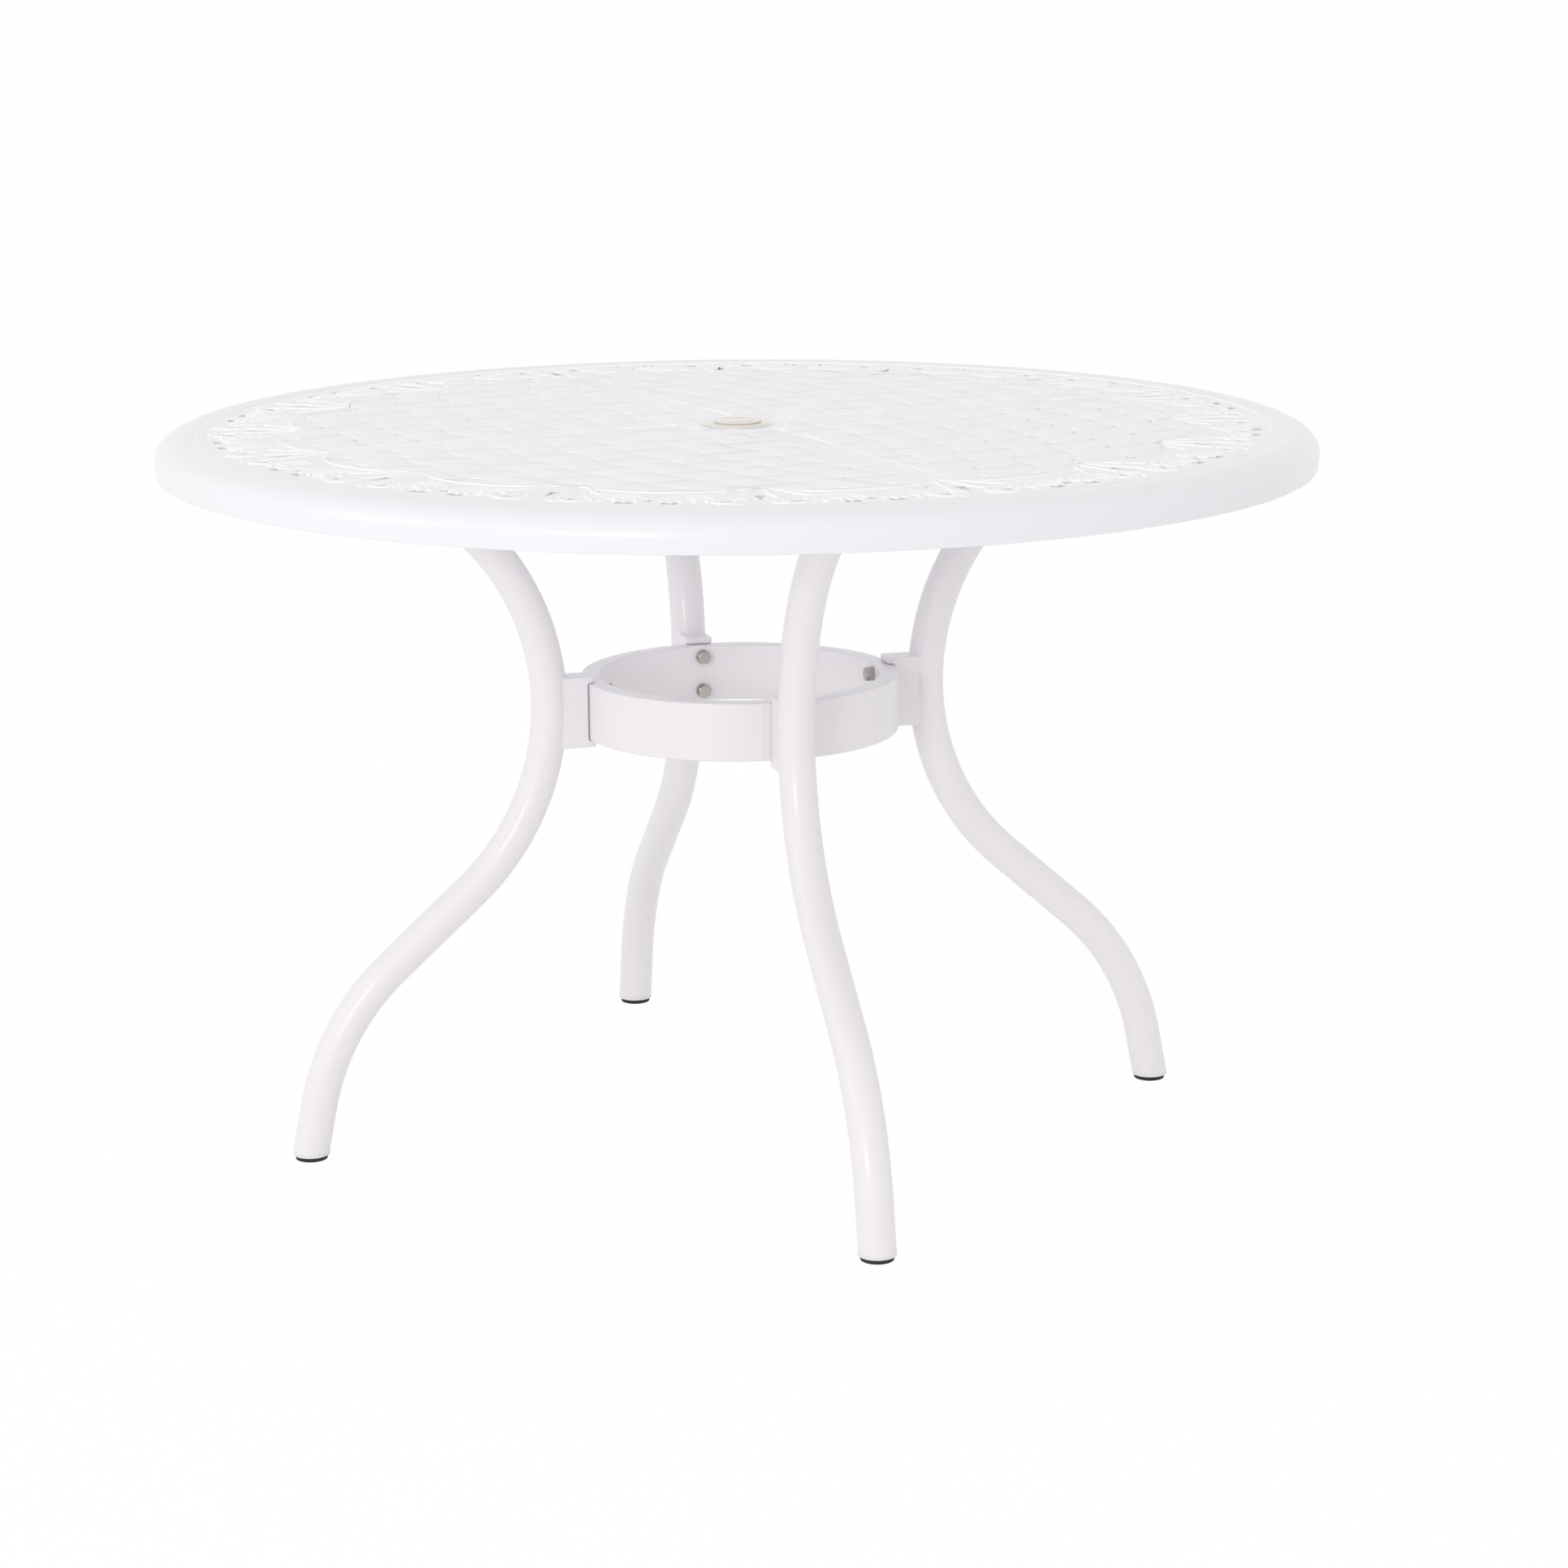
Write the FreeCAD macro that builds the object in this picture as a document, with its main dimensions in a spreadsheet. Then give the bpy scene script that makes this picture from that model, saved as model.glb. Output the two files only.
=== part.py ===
import FreeCAD, Part
import math
import os

import Sketcher
from FreeCAD import Placement, Rotation, Vector

# Round patio table with an umbrella hole: a cast top of four woven quarters in a rolled rim,
# four bent tube legs tied by a box-section ring, and levelling feet.
# Frame: origin on the floor under the centre of the top, +Z up, legs on the diagonals.

doc = FreeCAD.newDocument("umbrella_table")
sheet = doc.addObject("Spreadsheet::Sheet", "sizes")

up = Vector(0, 0, 1)
origin = Vector(0, 0, 0)

# Slack when an edge is picked by its place, steps that settle the weave's bow, smallest piece of a strip
near = 0.01
bow_steps = 12
least_piece_volume = 1.0

# Driving sizes in millimetres and degrees
driving = {
    # Round top and its rolled rim
    "top_diameter": 1212.85,
    "table_height": 762.0,
    "top_turn": 9.0,
    "rim_width": 46.4,
    "rim_drop": 39.5,
    "rim_wall": 4.0,
    "rim_round": 20.0,
    "rim_lean": 2.0,
    "rim_bead": 4.0,
    "rim_bead_rise": 0.4,
    # Quarter castings
    "lattice_drop": 0.8,
    "strip_rise": 3.2,
    "plate_thickness": 4.0,
    "casting_gap": 0.2,
    "rib_half_width": 16.0,
    "rib_rise": 1.6,
    "collar_width": 6.0,
    "border_width": 4.0,
    "weave_first": 74.0,
    "weave_pitch": 54.0,
    "weave_gap": 9.0,
    "weave_bow_radius": 735.0,
    "weave_bow_peak": 110.0,
    "lobe_count": 16,
    "rail_cusp_radius": 445.0,
    "rail_lobe_rise": 29.0,
    "rail_width": 7.0,
    # Scroll band: large and small volutes on each side of a cusp, angles measured from the cusp
    "scroll_rise": 2.6,
    "ridge_width": 4.6,
    "ridge_pitch": 8.3,
    "volute_ring_radius": 529.0,
    "volute_angle": 7.2,
    "volute_eye": 9.5,
    "volute_ridges": 4,
    "volute_start": -50.0,
    "volute_start_step": 20.0,
    "volute_sweep": 290.0,
    "volute_sweep_step": 60.0,
    "curl_ring_radius": 531.0,
    "curl_angle": 3.5,
    "curl_eye": 12.5,
    "curl_start": 130.0,
    "curl_sweep": 250.0,
    "curl_outer_sweep": 120.0,
    "leaf_width": 8.0,
    "leaf_tip_width": 3.0,
    "leaf_bend": 1.2,
    "inner_leaf_angle": 0.8,
    "inner_leaf_end_angle": 2.1,
    "outer_leaf_angle": 2.6,
    "outer_leaf_end_angle": 5.3,
    # Piercings of the scroll band
    "volute_hole_radius": 540.0,
    "volute_hole_angle": 9.0,
    "volute_hole_length": 16.0,
    "volute_hole_width": 12.0,
    "curl_hole_size": 11.0,
    "rail_hole_radius": 483.0,
    "rail_hole_angle": 4.0,
    "rail_hole_length": 11.0,
    "rail_hole_width": 7.0,
    "lobe_hole_radius": 526.0,
    "lobe_hole_size": 9.0,
    "cusp_hole_radius": 490.0,
    "cusp_hole_width": 12.0,
    "cusp_hole_length": 30.0,
    "boss_radius": 12.0,
    "boss_height": 12.0,
    # Hub with its plastic ring and cap
    "umbrella_hole": 51.2,
    "hub_radius": 52.0,
    "hub_wall": 6.0,
    "hub_drop": 35.0,
    "hub_flange": 8.0,
    "ring_clearance": 0.25,
    "pole_bore": 40.6,
    "ring_length": 28.0,
    "ring_flange_radius": 38.0,
    "ring_flange_step": 1.2,
    "ring_flange_ledge": 4.5,
    "cap_seat_radius": 22.0,
    "cap_skirt_wall": 2.8,
    "cap_skirt_length": 9.0,
    "cap_clearance": 0.2,
    "cap_radius": 25.0,
    "cap_thickness": 1.7,
    "cap_knob_radius": 17.0,
    "cap_knob_rise": 0.8,
    # Legs
    "tube_radius": 19.05,
    "tube_wall": 2.0,
    "foot_radius": 477.6,
    "foot_lean": 11.2,
    "foot_straight": 57.7,
    "bend_radius": 263.5,
    "knee_lean": 48.6,
    "knee_straight": 112.4,
    "top_lean": 54.0,
    "plate_length": 130.0,
    "plate_width": 52.0,
    "leg_plate_thickness": 5.0,
    "plate_corner": 8.0,
    "top_bolt_spacing": 100.0,
    # Brace ring and saddles
    "ring_mid_height": 465.5,
    "ring_height": 61.0,
    "ring_radius": 169.0,
    "ring_depth": 20.0,
    "ring_wall": 2.5,
    "ring_corner": 1.5,
    "saddle_width": 29.0,
    "saddle_lip": 7.0,
    "saddle_hook": 8.0,
    "saddle_gap": 0.3,
    "saddle_bite": 7.62,
    "saddle_corner": 3.0,
    "weld_gap": 0.05,
    "ring_bolt_spacing": 38.0,
    # Fasteners
    "bolt_radius": 3.95,
    "bolt_hole_radius": 4.3,
    "thread_hole_radius": 4.0,
    "thread_spare": 2.0,
    "bolt_flats": 13.0,
    "bolt_head": 5.3,
    "bolt_grip": 10.0,
    "washer_radius": 8.0,
    "washer_thickness": 1.6,
    "spring_washer_radius": 7.2,
    "spring_washer_thickness": 2.0,
    "spring_washer_slit": 1.0,
    "curve_gap": 0.3,
    # Feet
    "glide_radius": 17.1,
    "glide_height": 5.0,
    "glide_chamfer": 1.0,
    "stud_length": 21.0,
    "stud_clearance": 0.08,
    "insert_flange": 3.5,
    "insert_flange_radius": 19.4,
    "insert_plug_length": 22.0,
    "insert_clearance": 0.25,
    "seat_gap": 0.3,
}


def leg_line(v):
    """Corners of the leg's centre line, from the floor to the plate."""
    def ahead(lean):
        return Vector(-math.sin(lean), 0, math.cos(lean))

    def aside(lean):
        return Vector(math.cos(lean), 0, math.sin(lean))

    foot_lean = math.radians(v["foot_lean"])
    knee_lean = math.radians(v["knee_lean"])
    top_lean = -math.radians(v["top_lean"])
    bend = v["bend_radius"]
    foot = Vector(v["foot_radius"], 0, 0)
    shin = foot + ahead(foot_lean) * v["foot_straight"]
    knee = shin + (aside(knee_lean) - aside(foot_lean)) * bend
    thigh = knee + ahead(knee_lean) * v["knee_straight"]
    waist_centre = thigh + aside(knee_lean) * bend
    shoulder = waist_centre - aside(top_lean) * bend
    return foot, shin, knee, thigh, waist_centre, shoulder, ahead(top_lean)


def derived_sizes(v):
    """Places and sizes that follow from the driving ones."""
    d = {}
    d["top_radius"] = v["top_diameter"] / 2
    d["rim_inner"] = d["top_radius"] - v["rim_width"]
    d["lattice_top"] = v["table_height"] - v["lattice_drop"]
    d["plate_top"] = d["lattice_top"] - v["strip_rise"]
    d["plate_low"] = d["plate_top"] - v["plate_thickness"]
    d["boss_low"] = d["plate_low"] - v["boss_height"]
    d["leg_plate_low"] = d["boss_low"] - v["leg_plate_thickness"]
    # Rim profile
    d["rim_bead_outer"] = d["rim_inner"] + v["rim_bead"]
    d["rim_edge_top"] = d["lattice_top"] + v["rim_bead_rise"]
    d["crown_end"] = d["top_radius"] - v["rim_round"]
    d["round_low"] = v["table_height"] - v["rim_round"]
    d["skirt_low"] = v["table_height"] - v["rim_drop"]
    d["skirt_outer"] = d["top_radius"] - v["rim_lean"]
    d["skirt_inner"] = d["skirt_outer"] - v["rim_wall"]
    d["rim_inside"] = d["top_radius"] - v["rim_wall"]
    d["round_inside"] = v["rim_round"] - v["rim_wall"]
    d["round_mid_reach"] = d["crown_end"] + d["round_inside"] * math.sqrt(0.5)
    d["round_mid_height"] = d["round_low"] + d["round_inside"] * math.sqrt(0.5)
    d["crown_low"] = v["table_height"] - v["rim_wall"]
    d["lip_outer"] = d["rim_inner"] + v["rim_wall"]
    # Hub, ring and cap
    d["hole_radius"] = v["umbrella_hole"] / 2
    d["hub_top"] = d["lattice_top"] - v["curve_gap"]
    d["hub_flange_low"] = d["hub_top"] - v["hub_flange"]
    d["hub_low"] = d["hub_flange_low"] - v["hub_drop"] + v["hub_flange"]
    d["hub_sleeve"] = d["hole_radius"] + v["hub_wall"]
    d["pole_radius"] = v["pole_bore"] / 2
    d["ring_outer"] = d["hole_radius"] - v["ring_clearance"]
    d["ring_low"] = d["hub_top"] - v["ring_length"]
    d["ring_seat"] = d["hub_top"]
    d["flange_edge_top"] = d["ring_seat"] + v["ring_flange_step"]
    d["flange_mid_top"] = d["flange_edge_top"] + v["ring_flange_step"]
    d["flange_mid_radius"] = v["ring_flange_radius"] - v["ring_flange_ledge"]
    d["flange_top_radius"] = d["flange_mid_radius"] - v["ring_flange_ledge"]
    d["cap_seat"] = d["flange_mid_top"]
    d["cap_disc_low"] = d["cap_seat"] + v["seat_gap"]
    d["cap_disc_top"] = d["cap_disc_low"] + v["cap_thickness"]
    d["cap_top"] = d["cap_disc_top"] + v["cap_knob_rise"]
    d["cap_skirt_low"] = d["cap_disc_low"] - v["cap_skirt_length"]
    d["cap_skirt_outer"] = v["cap_seat_radius"] - v["cap_clearance"]
    d["cap_skirt_inner"] = d["cap_skirt_outer"] - v["cap_skirt_wall"]
    d["counterbore_low"] = d["cap_skirt_low"] - v["seat_gap"]
    # Leg corners
    foot, shin, knee, thigh, waist, shoulder, direction = leg_line(v)
    for name, corner in zip(("shin", "knee", "thigh", "waist", "shoulder"),
                            (shin, knee, thigh, waist, shoulder)):
        d[name + "_reach"] = corner.x
        d[name + "_height"] = corner.z
    rise = d["leg_plate_low"] - shoulder.z
    d["plate_reach"] = shoulder.x + direction.x / direction.z * rise
    overrun = 2 * v["tube_radius"]
    d["head_reach"] = shoulder.x + direction.x / direction.z * (rise + overrun)
    d["head_height"] = shoulder.z + rise + overrun
    d["tube_bore"] = v["tube_radius"] - v["tube_wall"]
    d["tube_foot"] = v["glide_height"] + v["seat_gap"] + v["insert_flange"]
    d["insert_low"] = v["glide_height"] + v["seat_gap"]
    d["stud_reach"] = v["foot_radius"] - d["tube_foot"] * math.tan(math.radians(v["foot_lean"]))
    d["insert_plug"] = d["tube_bore"] - v["insert_clearance"]
    d["stud_hole"] = v["bolt_radius"] + v["stud_clearance"]
    # Brace ring and saddles
    d["ring_low_height"] = v["ring_mid_height"] - v["ring_height"] / 2
    d["ring_high_height"] = v["ring_mid_height"] + v["ring_height"] / 2
    d["ring_inside"] = v["ring_radius"] - v["ring_depth"]
    d["ring_void_inner"] = d["ring_inside"] + v["ring_wall"]
    d["ring_void_outer"] = v["ring_radius"] - v["ring_wall"]
    d["ring_void_low"] = d["ring_low_height"] + v["ring_wall"]
    d["ring_void_high"] = d["ring_high_height"] - v["ring_wall"]
    d["saddle_face"] = v["ring_radius"] + v["saddle_gap"]
    d["saddle_nose"] = d["saddle_face"] - v["saddle_hook"]
    d["saddle_back"] = d["waist_reach"] - v["bend_radius"] - v["tube_radius"] + v["saddle_bite"]
    d["lip_high_low"] = d["ring_high_height"] + v["saddle_gap"]
    d["lip_high_top"] = d["lip_high_low"] + v["saddle_lip"]
    d["lip_low_top"] = d["ring_low_height"] - v["saddle_gap"]
    d["lip_low_low"] = d["lip_low_top"] - v["saddle_lip"]
    d["saddle_thread_end"] = d["saddle_face"] + v["bolt_grip"] + v["thread_spare"]
    d["ring_bolt_low"] = v["ring_mid_height"] - v["ring_bolt_spacing"] / 2
    d["ring_bolt_high"] = v["ring_mid_height"] + v["ring_bolt_spacing"] / 2
    return d


v = dict(driving)
v.update(derived_sizes(driving))


def fill_sheet(values):
    """One row for each size: its name, its value and the value's alias."""
    for row, (name, number) in enumerate(values.items(), 1):
        sheet.set("A%d" % row, name)
        sheet.set("B%d" % row, str(number))
        sheet.setAlias("B%d" % row, name)


fill_sheet(v)
doc.recompute()


def bind(item, prop, name):
    item.setExpression(prop, "sizes." + name)


def new_body(label):
    body = doc.addObject("PartDesign::Body", label)
    body.Label = label
    return body


def new_sketch(body, role, name):
    plane = [item for item in body.Origin.OriginFeatures if item.Role == role][0]
    sketch = body.newObject("Sketcher::SketchObject", name)
    sketch.AttachmentSupport = [(plane, "")]
    sketch.MapMode = "FlatFace"
    return sketch


def arc_between(start, end, radius, side):
    """Arc from start to end in the sketch; side 1 has its centre on the left of that direction."""
    chord = end - start
    middle = (start + end) * 0.5
    left = Vector(-chord.y, chord.x, 0).normalize()
    reach = math.sqrt(max(radius ** 2 - (chord.Length / 2) ** 2, 0))
    centre = middle + left * reach * side
    first, last = (start, end) if side > 0 else (end, start)
    begin = math.atan2(first.y - centre.y, first.x - centre.x)
    finish = math.atan2(last.y - centre.y, last.x - centre.x)
    return Part.ArcOfCircle(Part.Circle(centre, up, radius), begin, finish)


def draw(sketch, corners, arcs=None, closed=True):
    """Outline through corners named (across, along); arcs holds {side number: (radius, side)}."""
    arcs = arcs or {}
    points = [Vector(v[a] if a else 0, v[b] if b else 0, 0) for a, b in corners]
    count = len(points) if closed else len(points) - 1
    ends = []
    first = len(sketch.Geometry)
    for i in range(count):
        start, end = points[i], points[(i + 1) % len(points)]
        if i in arcs:
            radius, side = arcs[i]
            sketch.addGeometry(arc_between(start, end, v[radius], side), False)
            ends.append((1, 2) if side > 0 else (2, 1))
        else:
            sketch.addGeometry(Part.LineSegment(start, end), False)
            ends.append((1, 2))
    for i in range(count - 1 + int(closed)):
        j = (i + 1) % count
        sketch.addConstraint(Sketcher.Constraint(
            "Coincident", first + i, ends[i][1], first + j, ends[j][0]))
    for i, corner in enumerate(corners):
        edge = min(i, count - 1)
        spot = ends[edge][0] if i == edge else ends[edge][1]
        for kind, name, axis in (("DistanceX", corner[0], -2), ("DistanceY", corner[1], -1)):
            if name is None:
                sketch.addConstraint(Sketcher.Constraint("PointOnObject", first + edge, spot, axis))
                continue
            number = sketch.addConstraint(Sketcher.Constraint(
                kind, -1, 1, first + edge, spot, v[name]))
            bind(sketch, "Constraints[%d]" % number, name)
    for i, (radius, side) in arcs.items():
        number = sketch.addConstraint(Sketcher.Constraint("Radius", first + i, v[radius]))
        bind(sketch, "Constraints[%d]" % number, radius)


def add_circle(sketch, across, along, radius):
    """Circle at a named place; a place of None lies on the axis."""
    centre = Vector(v[across] if across else 0, v[along] if along else 0, 0)
    i = sketch.addGeometry(Part.Circle(centre, up, v[radius]), False)
    if across is None and along is None:
        sketch.addConstraint(Sketcher.Constraint("Coincident", i, 3, -1, 1))
    else:
        for kind, name, axis in (("DistanceX", across, -2), ("DistanceY", along, -1)):
            if name is None:
                sketch.addConstraint(Sketcher.Constraint("PointOnObject", i, 3, axis))
                continue
            number = sketch.addConstraint(Sketcher.Constraint(kind, -1, 1, i, 3, v[name]))
            bind(sketch, "Constraints[%d]" % number, name)
    number = sketch.addConstraint(Sketcher.Constraint("Radius", i, v[radius]))
    bind(sketch, "Constraints[%d]" % number, radius)


def revolve(body, corners, arcs=None, void=None):
    """Solid of revolution about the vertical axis from an outline of (radius, height) names."""
    sketch = new_sketch(body, "XZ_Plane", "profile")
    draw(sketch, corners, arcs)
    if void:
        draw(sketch, void)
    turned = body.newObject("PartDesign::Revolution", "turned")
    turned.Profile = sketch
    turned.ReferenceAxis = (sketch, ["V_Axis"])
    turned.Angle = 360
    sketch.Visibility = False
    doc.recompute()
    return turned


def edges_like(feature, wanted):
    return ["Edge%d" % (i + 1) for i, edge in enumerate(feature.Shape.Edges) if wanted(edge)]


def upright(edge):
    return abs(edge.tangentAt(edge.FirstParameter).z) > 1 - near


def round_edges(body, feature, wanted, radius):
    """Fillet on the edges that the test picks."""
    fillet = body.newObject("PartDesign::Fillet", "rounded")
    fillet.Base = (feature, edges_like(feature, wanted))
    fillet.Radius = v[radius]
    bind(fillet, "Radius", radius)
    doc.recompute()
    return fillet


def turned_about_z(degrees):
    return Placement(origin, Rotation(up, degrees))


def leg_azimuth(k):
    return 45 + 90 * k


# Rim: rolled crown, rounded shoulder and a skirt that leans in slightly
def make_rim():
    body = new_body("top_rim")
    revolve(body, [
        ("rim_inner", "plate_low"), ("rim_inner", "rim_edge_top"), ("rim_bead_outer", "lattice_top"),
        ("crown_end", "table_height"), ("top_radius", "round_low"), ("skirt_outer", "skirt_low"),
        ("skirt_inner", "skirt_low"), ("rim_inside", "round_low"), ("round_mid_reach", "round_mid_height"),
        ("crown_end", "crown_low"), ("lip_outer", "plate_top"), ("lip_outer", "plate_low")],
        {3: ("rim_round", -1)})
    return body


# Hub: flange between the castings' corners, sleeve below it and the umbrella hole through both
def make_hub():
    body = new_body("hub")
    revolve(body, [
        ("hole_radius", "hub_low"), ("hub_sleeve", "hub_low"), ("hub_sleeve", "hub_flange_low"),
        ("hub_radius", "hub_flange_low"), ("hub_radius", "hub_top"), ("hole_radius", "hub_top")])
    return body


# Plastic ring: spigot in the hub, stepped flange on top and a counterbore for the cap's skirt
def make_umbrella_ring():
    body = new_body("umbrella_ring")
    revolve(body, [
        ("pole_radius", "ring_low"), ("ring_outer", "ring_low"), ("ring_outer", "ring_seat"),
        ("ring_flange_radius", "ring_seat"), ("ring_flange_radius", "flange_edge_top"),
        ("flange_mid_radius", "flange_edge_top"), ("flange_top_radius", "flange_mid_top"),
        ("cap_seat_radius", "flange_mid_top"), ("cap_seat_radius", "counterbore_low"),
        ("pole_radius", "counterbore_low")])
    return body


# Cap: stepped disc over the ring and a hollow skirt in its counterbore
def make_umbrella_cap():
    body = new_body("umbrella_cap")
    revolve(body, [
        (None, "cap_disc_low"), ("cap_skirt_inner", "cap_disc_low"), ("cap_skirt_inner", "cap_skirt_low"),
        ("cap_skirt_outer", "cap_skirt_low"), ("cap_skirt_outer", "cap_disc_low"),
        ("cap_radius", "cap_disc_low"), ("cap_radius", "cap_disc_top"),
        ("cap_knob_radius", "cap_disc_top"), ("cap_knob_radius", "cap_top"), (None, "cap_top")])
    return body


# Brace ring: rolled box section with bolt holes through both walls at each leg
def make_brace_ring():
    body = new_body("brace_ring")
    turned = revolve(body, [
        ("ring_inside", "ring_low_height"), ("ring_radius", "ring_low_height"),
        ("ring_radius", "ring_high_height"), ("ring_inside", "ring_high_height")],
        void=[
        ("ring_void_inner", "ring_void_low"), ("ring_void_outer", "ring_void_low"),
        ("ring_void_outer", "ring_void_high"), ("ring_void_inner", "ring_void_high")])
    corners = [(v["ring_inside"], v["ring_radius"]), (v["ring_low_height"], v["ring_high_height"])]

    def outer_corner(edge):
        curve = edge.Curve
        if not isinstance(curve, Part.Circle):
            return False
        return any(abs(curve.Radius - r) < near for r in corners[0]) and any(
            abs(curve.Center.z - z) < near for z in corners[1])

    eased = body.newObject("PartDesign::Chamfer", "eased")
    eased.Base = (turned, edges_like(turned, outer_corner))
    eased.Size = v["ring_corner"]
    bind(eased, "Size", "ring_corner")
    doc.recompute()
    for role in ("XZ_Plane", "YZ_Plane"):
        sketch = new_sketch(body, role, "bolt_holes")
        add_circle(sketch, None, "ring_bolt_low", "bolt_hole_radius")
        add_circle(sketch, None, "ring_bolt_high", "bolt_hole_radius")
        holes = body.newObject("PartDesign::Pocket", "holes")
        holes.Profile = sketch
        holes.Type = "ThroughAll"
        holes.Midplane = True
        sketch.Visibility = False
        doc.recompute()
    body.Placement = turned_about_z(leg_azimuth(0))
    return body


# Leg: bent tube, cut level at the foot and under the plate, open at the foot for its insert
def make_leg(k):
    body = new_body("leg_%d" % (k + 1))
    path = new_sketch(body, "XZ_Plane", "centre_line")
    draw(path, [
        ("foot_radius", None), ("shin_reach", "shin_height"), ("knee_reach", "knee_height"),
        ("thigh_reach", "thigh_height"), ("shoulder_reach", "shoulder_height"),
        ("head_reach", "head_height")],
        {1: ("bend_radius", 1), 3: ("bend_radius", -1)}, closed=False)
    doc.recompute()
    section = body.newObject("Sketcher::SketchObject", "section")
    section.AttachmentSupport = [(path, "Edge1")]
    section.MapMode = "NormalToEdge"
    add_circle(section, None, None, "tube_radius")
    tube = body.newObject("PartDesign::AdditivePipe", "tube")
    tube.Profile = section
    tube.Spine = (path, ["Edge%d" % (i + 1) for i in range(5)])
    doc.recompute()
    bore_section = body.newObject("Sketcher::SketchObject", "bore_section")
    bore_section.AttachmentSupport = [(path, "Edge1")]
    bore_section.MapMode = "NormalToEdge"
    add_circle(bore_section, None, None, "tube_bore")
    bore = body.newObject("PartDesign::SubtractivePipe", "foot_bore")
    bore.Profile = bore_section
    bore.Spine = (path, ["Edge1"])
    bore_section.Visibility = False
    doc.recompute()
    for name, height, flipped in (("level_foot", "tube_foot", False), ("level_top", "leg_plate_low", True)):
        sketch = new_sketch(body, "XY_Plane", name)
        bind(sketch, "AttachmentOffset.Base.z", height)
        i = sketch.addGeometry(Part.Circle(origin, up, v["top_radius"]), False)
        sketch.addConstraint(Sketcher.Constraint("Coincident", i, 3, -1, 1))
        number = sketch.addConstraint(Sketcher.Constraint("Radius", i, v["top_radius"]))
        bind(sketch, "Constraints[%d]" % number, "top_radius")
        cut = body.newObject("PartDesign::Pocket", name + "_cut")
        cut.Profile = sketch
        cut.Type = "Length"
        cut.Length = v["table_height"]
        cut.Reversed = flipped
        sketch.Visibility = False
        doc.recompute()
    path.Visibility = False
    section.Visibility = False
    body.Placement = turned_about_z(leg_azimuth(k))
    return body


# Leg plate: rounded rectangle with two bolt holes, welded on top of the tube
def make_leg_plate(k):
    body = new_body("leg_plate_%d" % (k + 1))
    sketch = new_sketch(body, "XY_Plane", "outline")
    bind(sketch, "AttachmentOffset.Base.z", "leg_plate_low")
    bind(sketch, "AttachmentOffset.Base.x", "plate_reach")
    draw_centred_rectangle(sketch, "plate_length", "plate_width")
    for sign in (-1, 1):
        add_offset_hole(sketch, sign, "top_bolt_spacing", "bolt_hole_radius")
    pad = body.newObject("PartDesign::Pad", "plate")
    pad.Profile = sketch
    pad.Length = v["leg_plate_thickness"]
    bind(pad, "Length", "leg_plate_thickness")
    sketch.Visibility = False
    doc.recompute()
    half = v["plate_width"] / 2
    round_edges(body, pad, lambda edge: upright(edge) and abs(abs(edge.CenterOfMass.y) - half) < near,
                "plate_corner")
    body.Placement = turned_about_z(leg_azimuth(k))
    return body


def draw_centred_rectangle(sketch, length, width):
    """Rectangle about the sketch's origin, its sides bound to the two named sizes."""
    a, b = v[length] / 2, v[width] / 2
    corners = [Vector(-a, -b, 0), Vector(a, -b, 0), Vector(a, b, 0), Vector(-a, b, 0)]
    for i in range(4):
        sketch.addGeometry(Part.LineSegment(corners[i], corners[(i + 1) % 4]), False)
    for i in range(4):
        sketch.addConstraint(Sketcher.Constraint("Coincident", i, 2, (i + 1) % 4, 1))
    for i, kind in enumerate(("Horizontal", "Vertical", "Horizontal", "Vertical")):
        sketch.addConstraint(Sketcher.Constraint(kind, i))
    sketch.addConstraint(Sketcher.Constraint("Symmetric", 0, 1, 2, 1, -1, 1))
    for side, name in ((0, length), (1, width)):
        number = sketch.addConstraint(Sketcher.Constraint("Distance", side, v[name]))
        bind(sketch, "Constraints[%d]" % number, name)


def add_offset_hole(sketch, sign, spacing, radius):
    """Hole at half the spacing from the sketch's origin, along its first axis."""
    i = sketch.addGeometry(Part.Circle(Vector(sign * v[spacing] / 2, 0, 0), up, v[radius]), False)
    sketch.addConstraint(Sketcher.Constraint("PointOnObject", i, 3, -1))
    first, last = ((-1, 1), (i, 3)) if sign > 0 else ((i, 3), (-1, 1))
    number = sketch.addConstraint(Sketcher.Constraint("DistanceX", *first, *last, v[spacing] / 2))
    sketch.setExpression("Constraints[%d]" % number, "sizes.%s / 2" % spacing)
    number = sketch.addConstraint(Sketcher.Constraint("Radius", i, v[radius]))
    bind(sketch, "Constraints[%d]" % number, radius)


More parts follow.
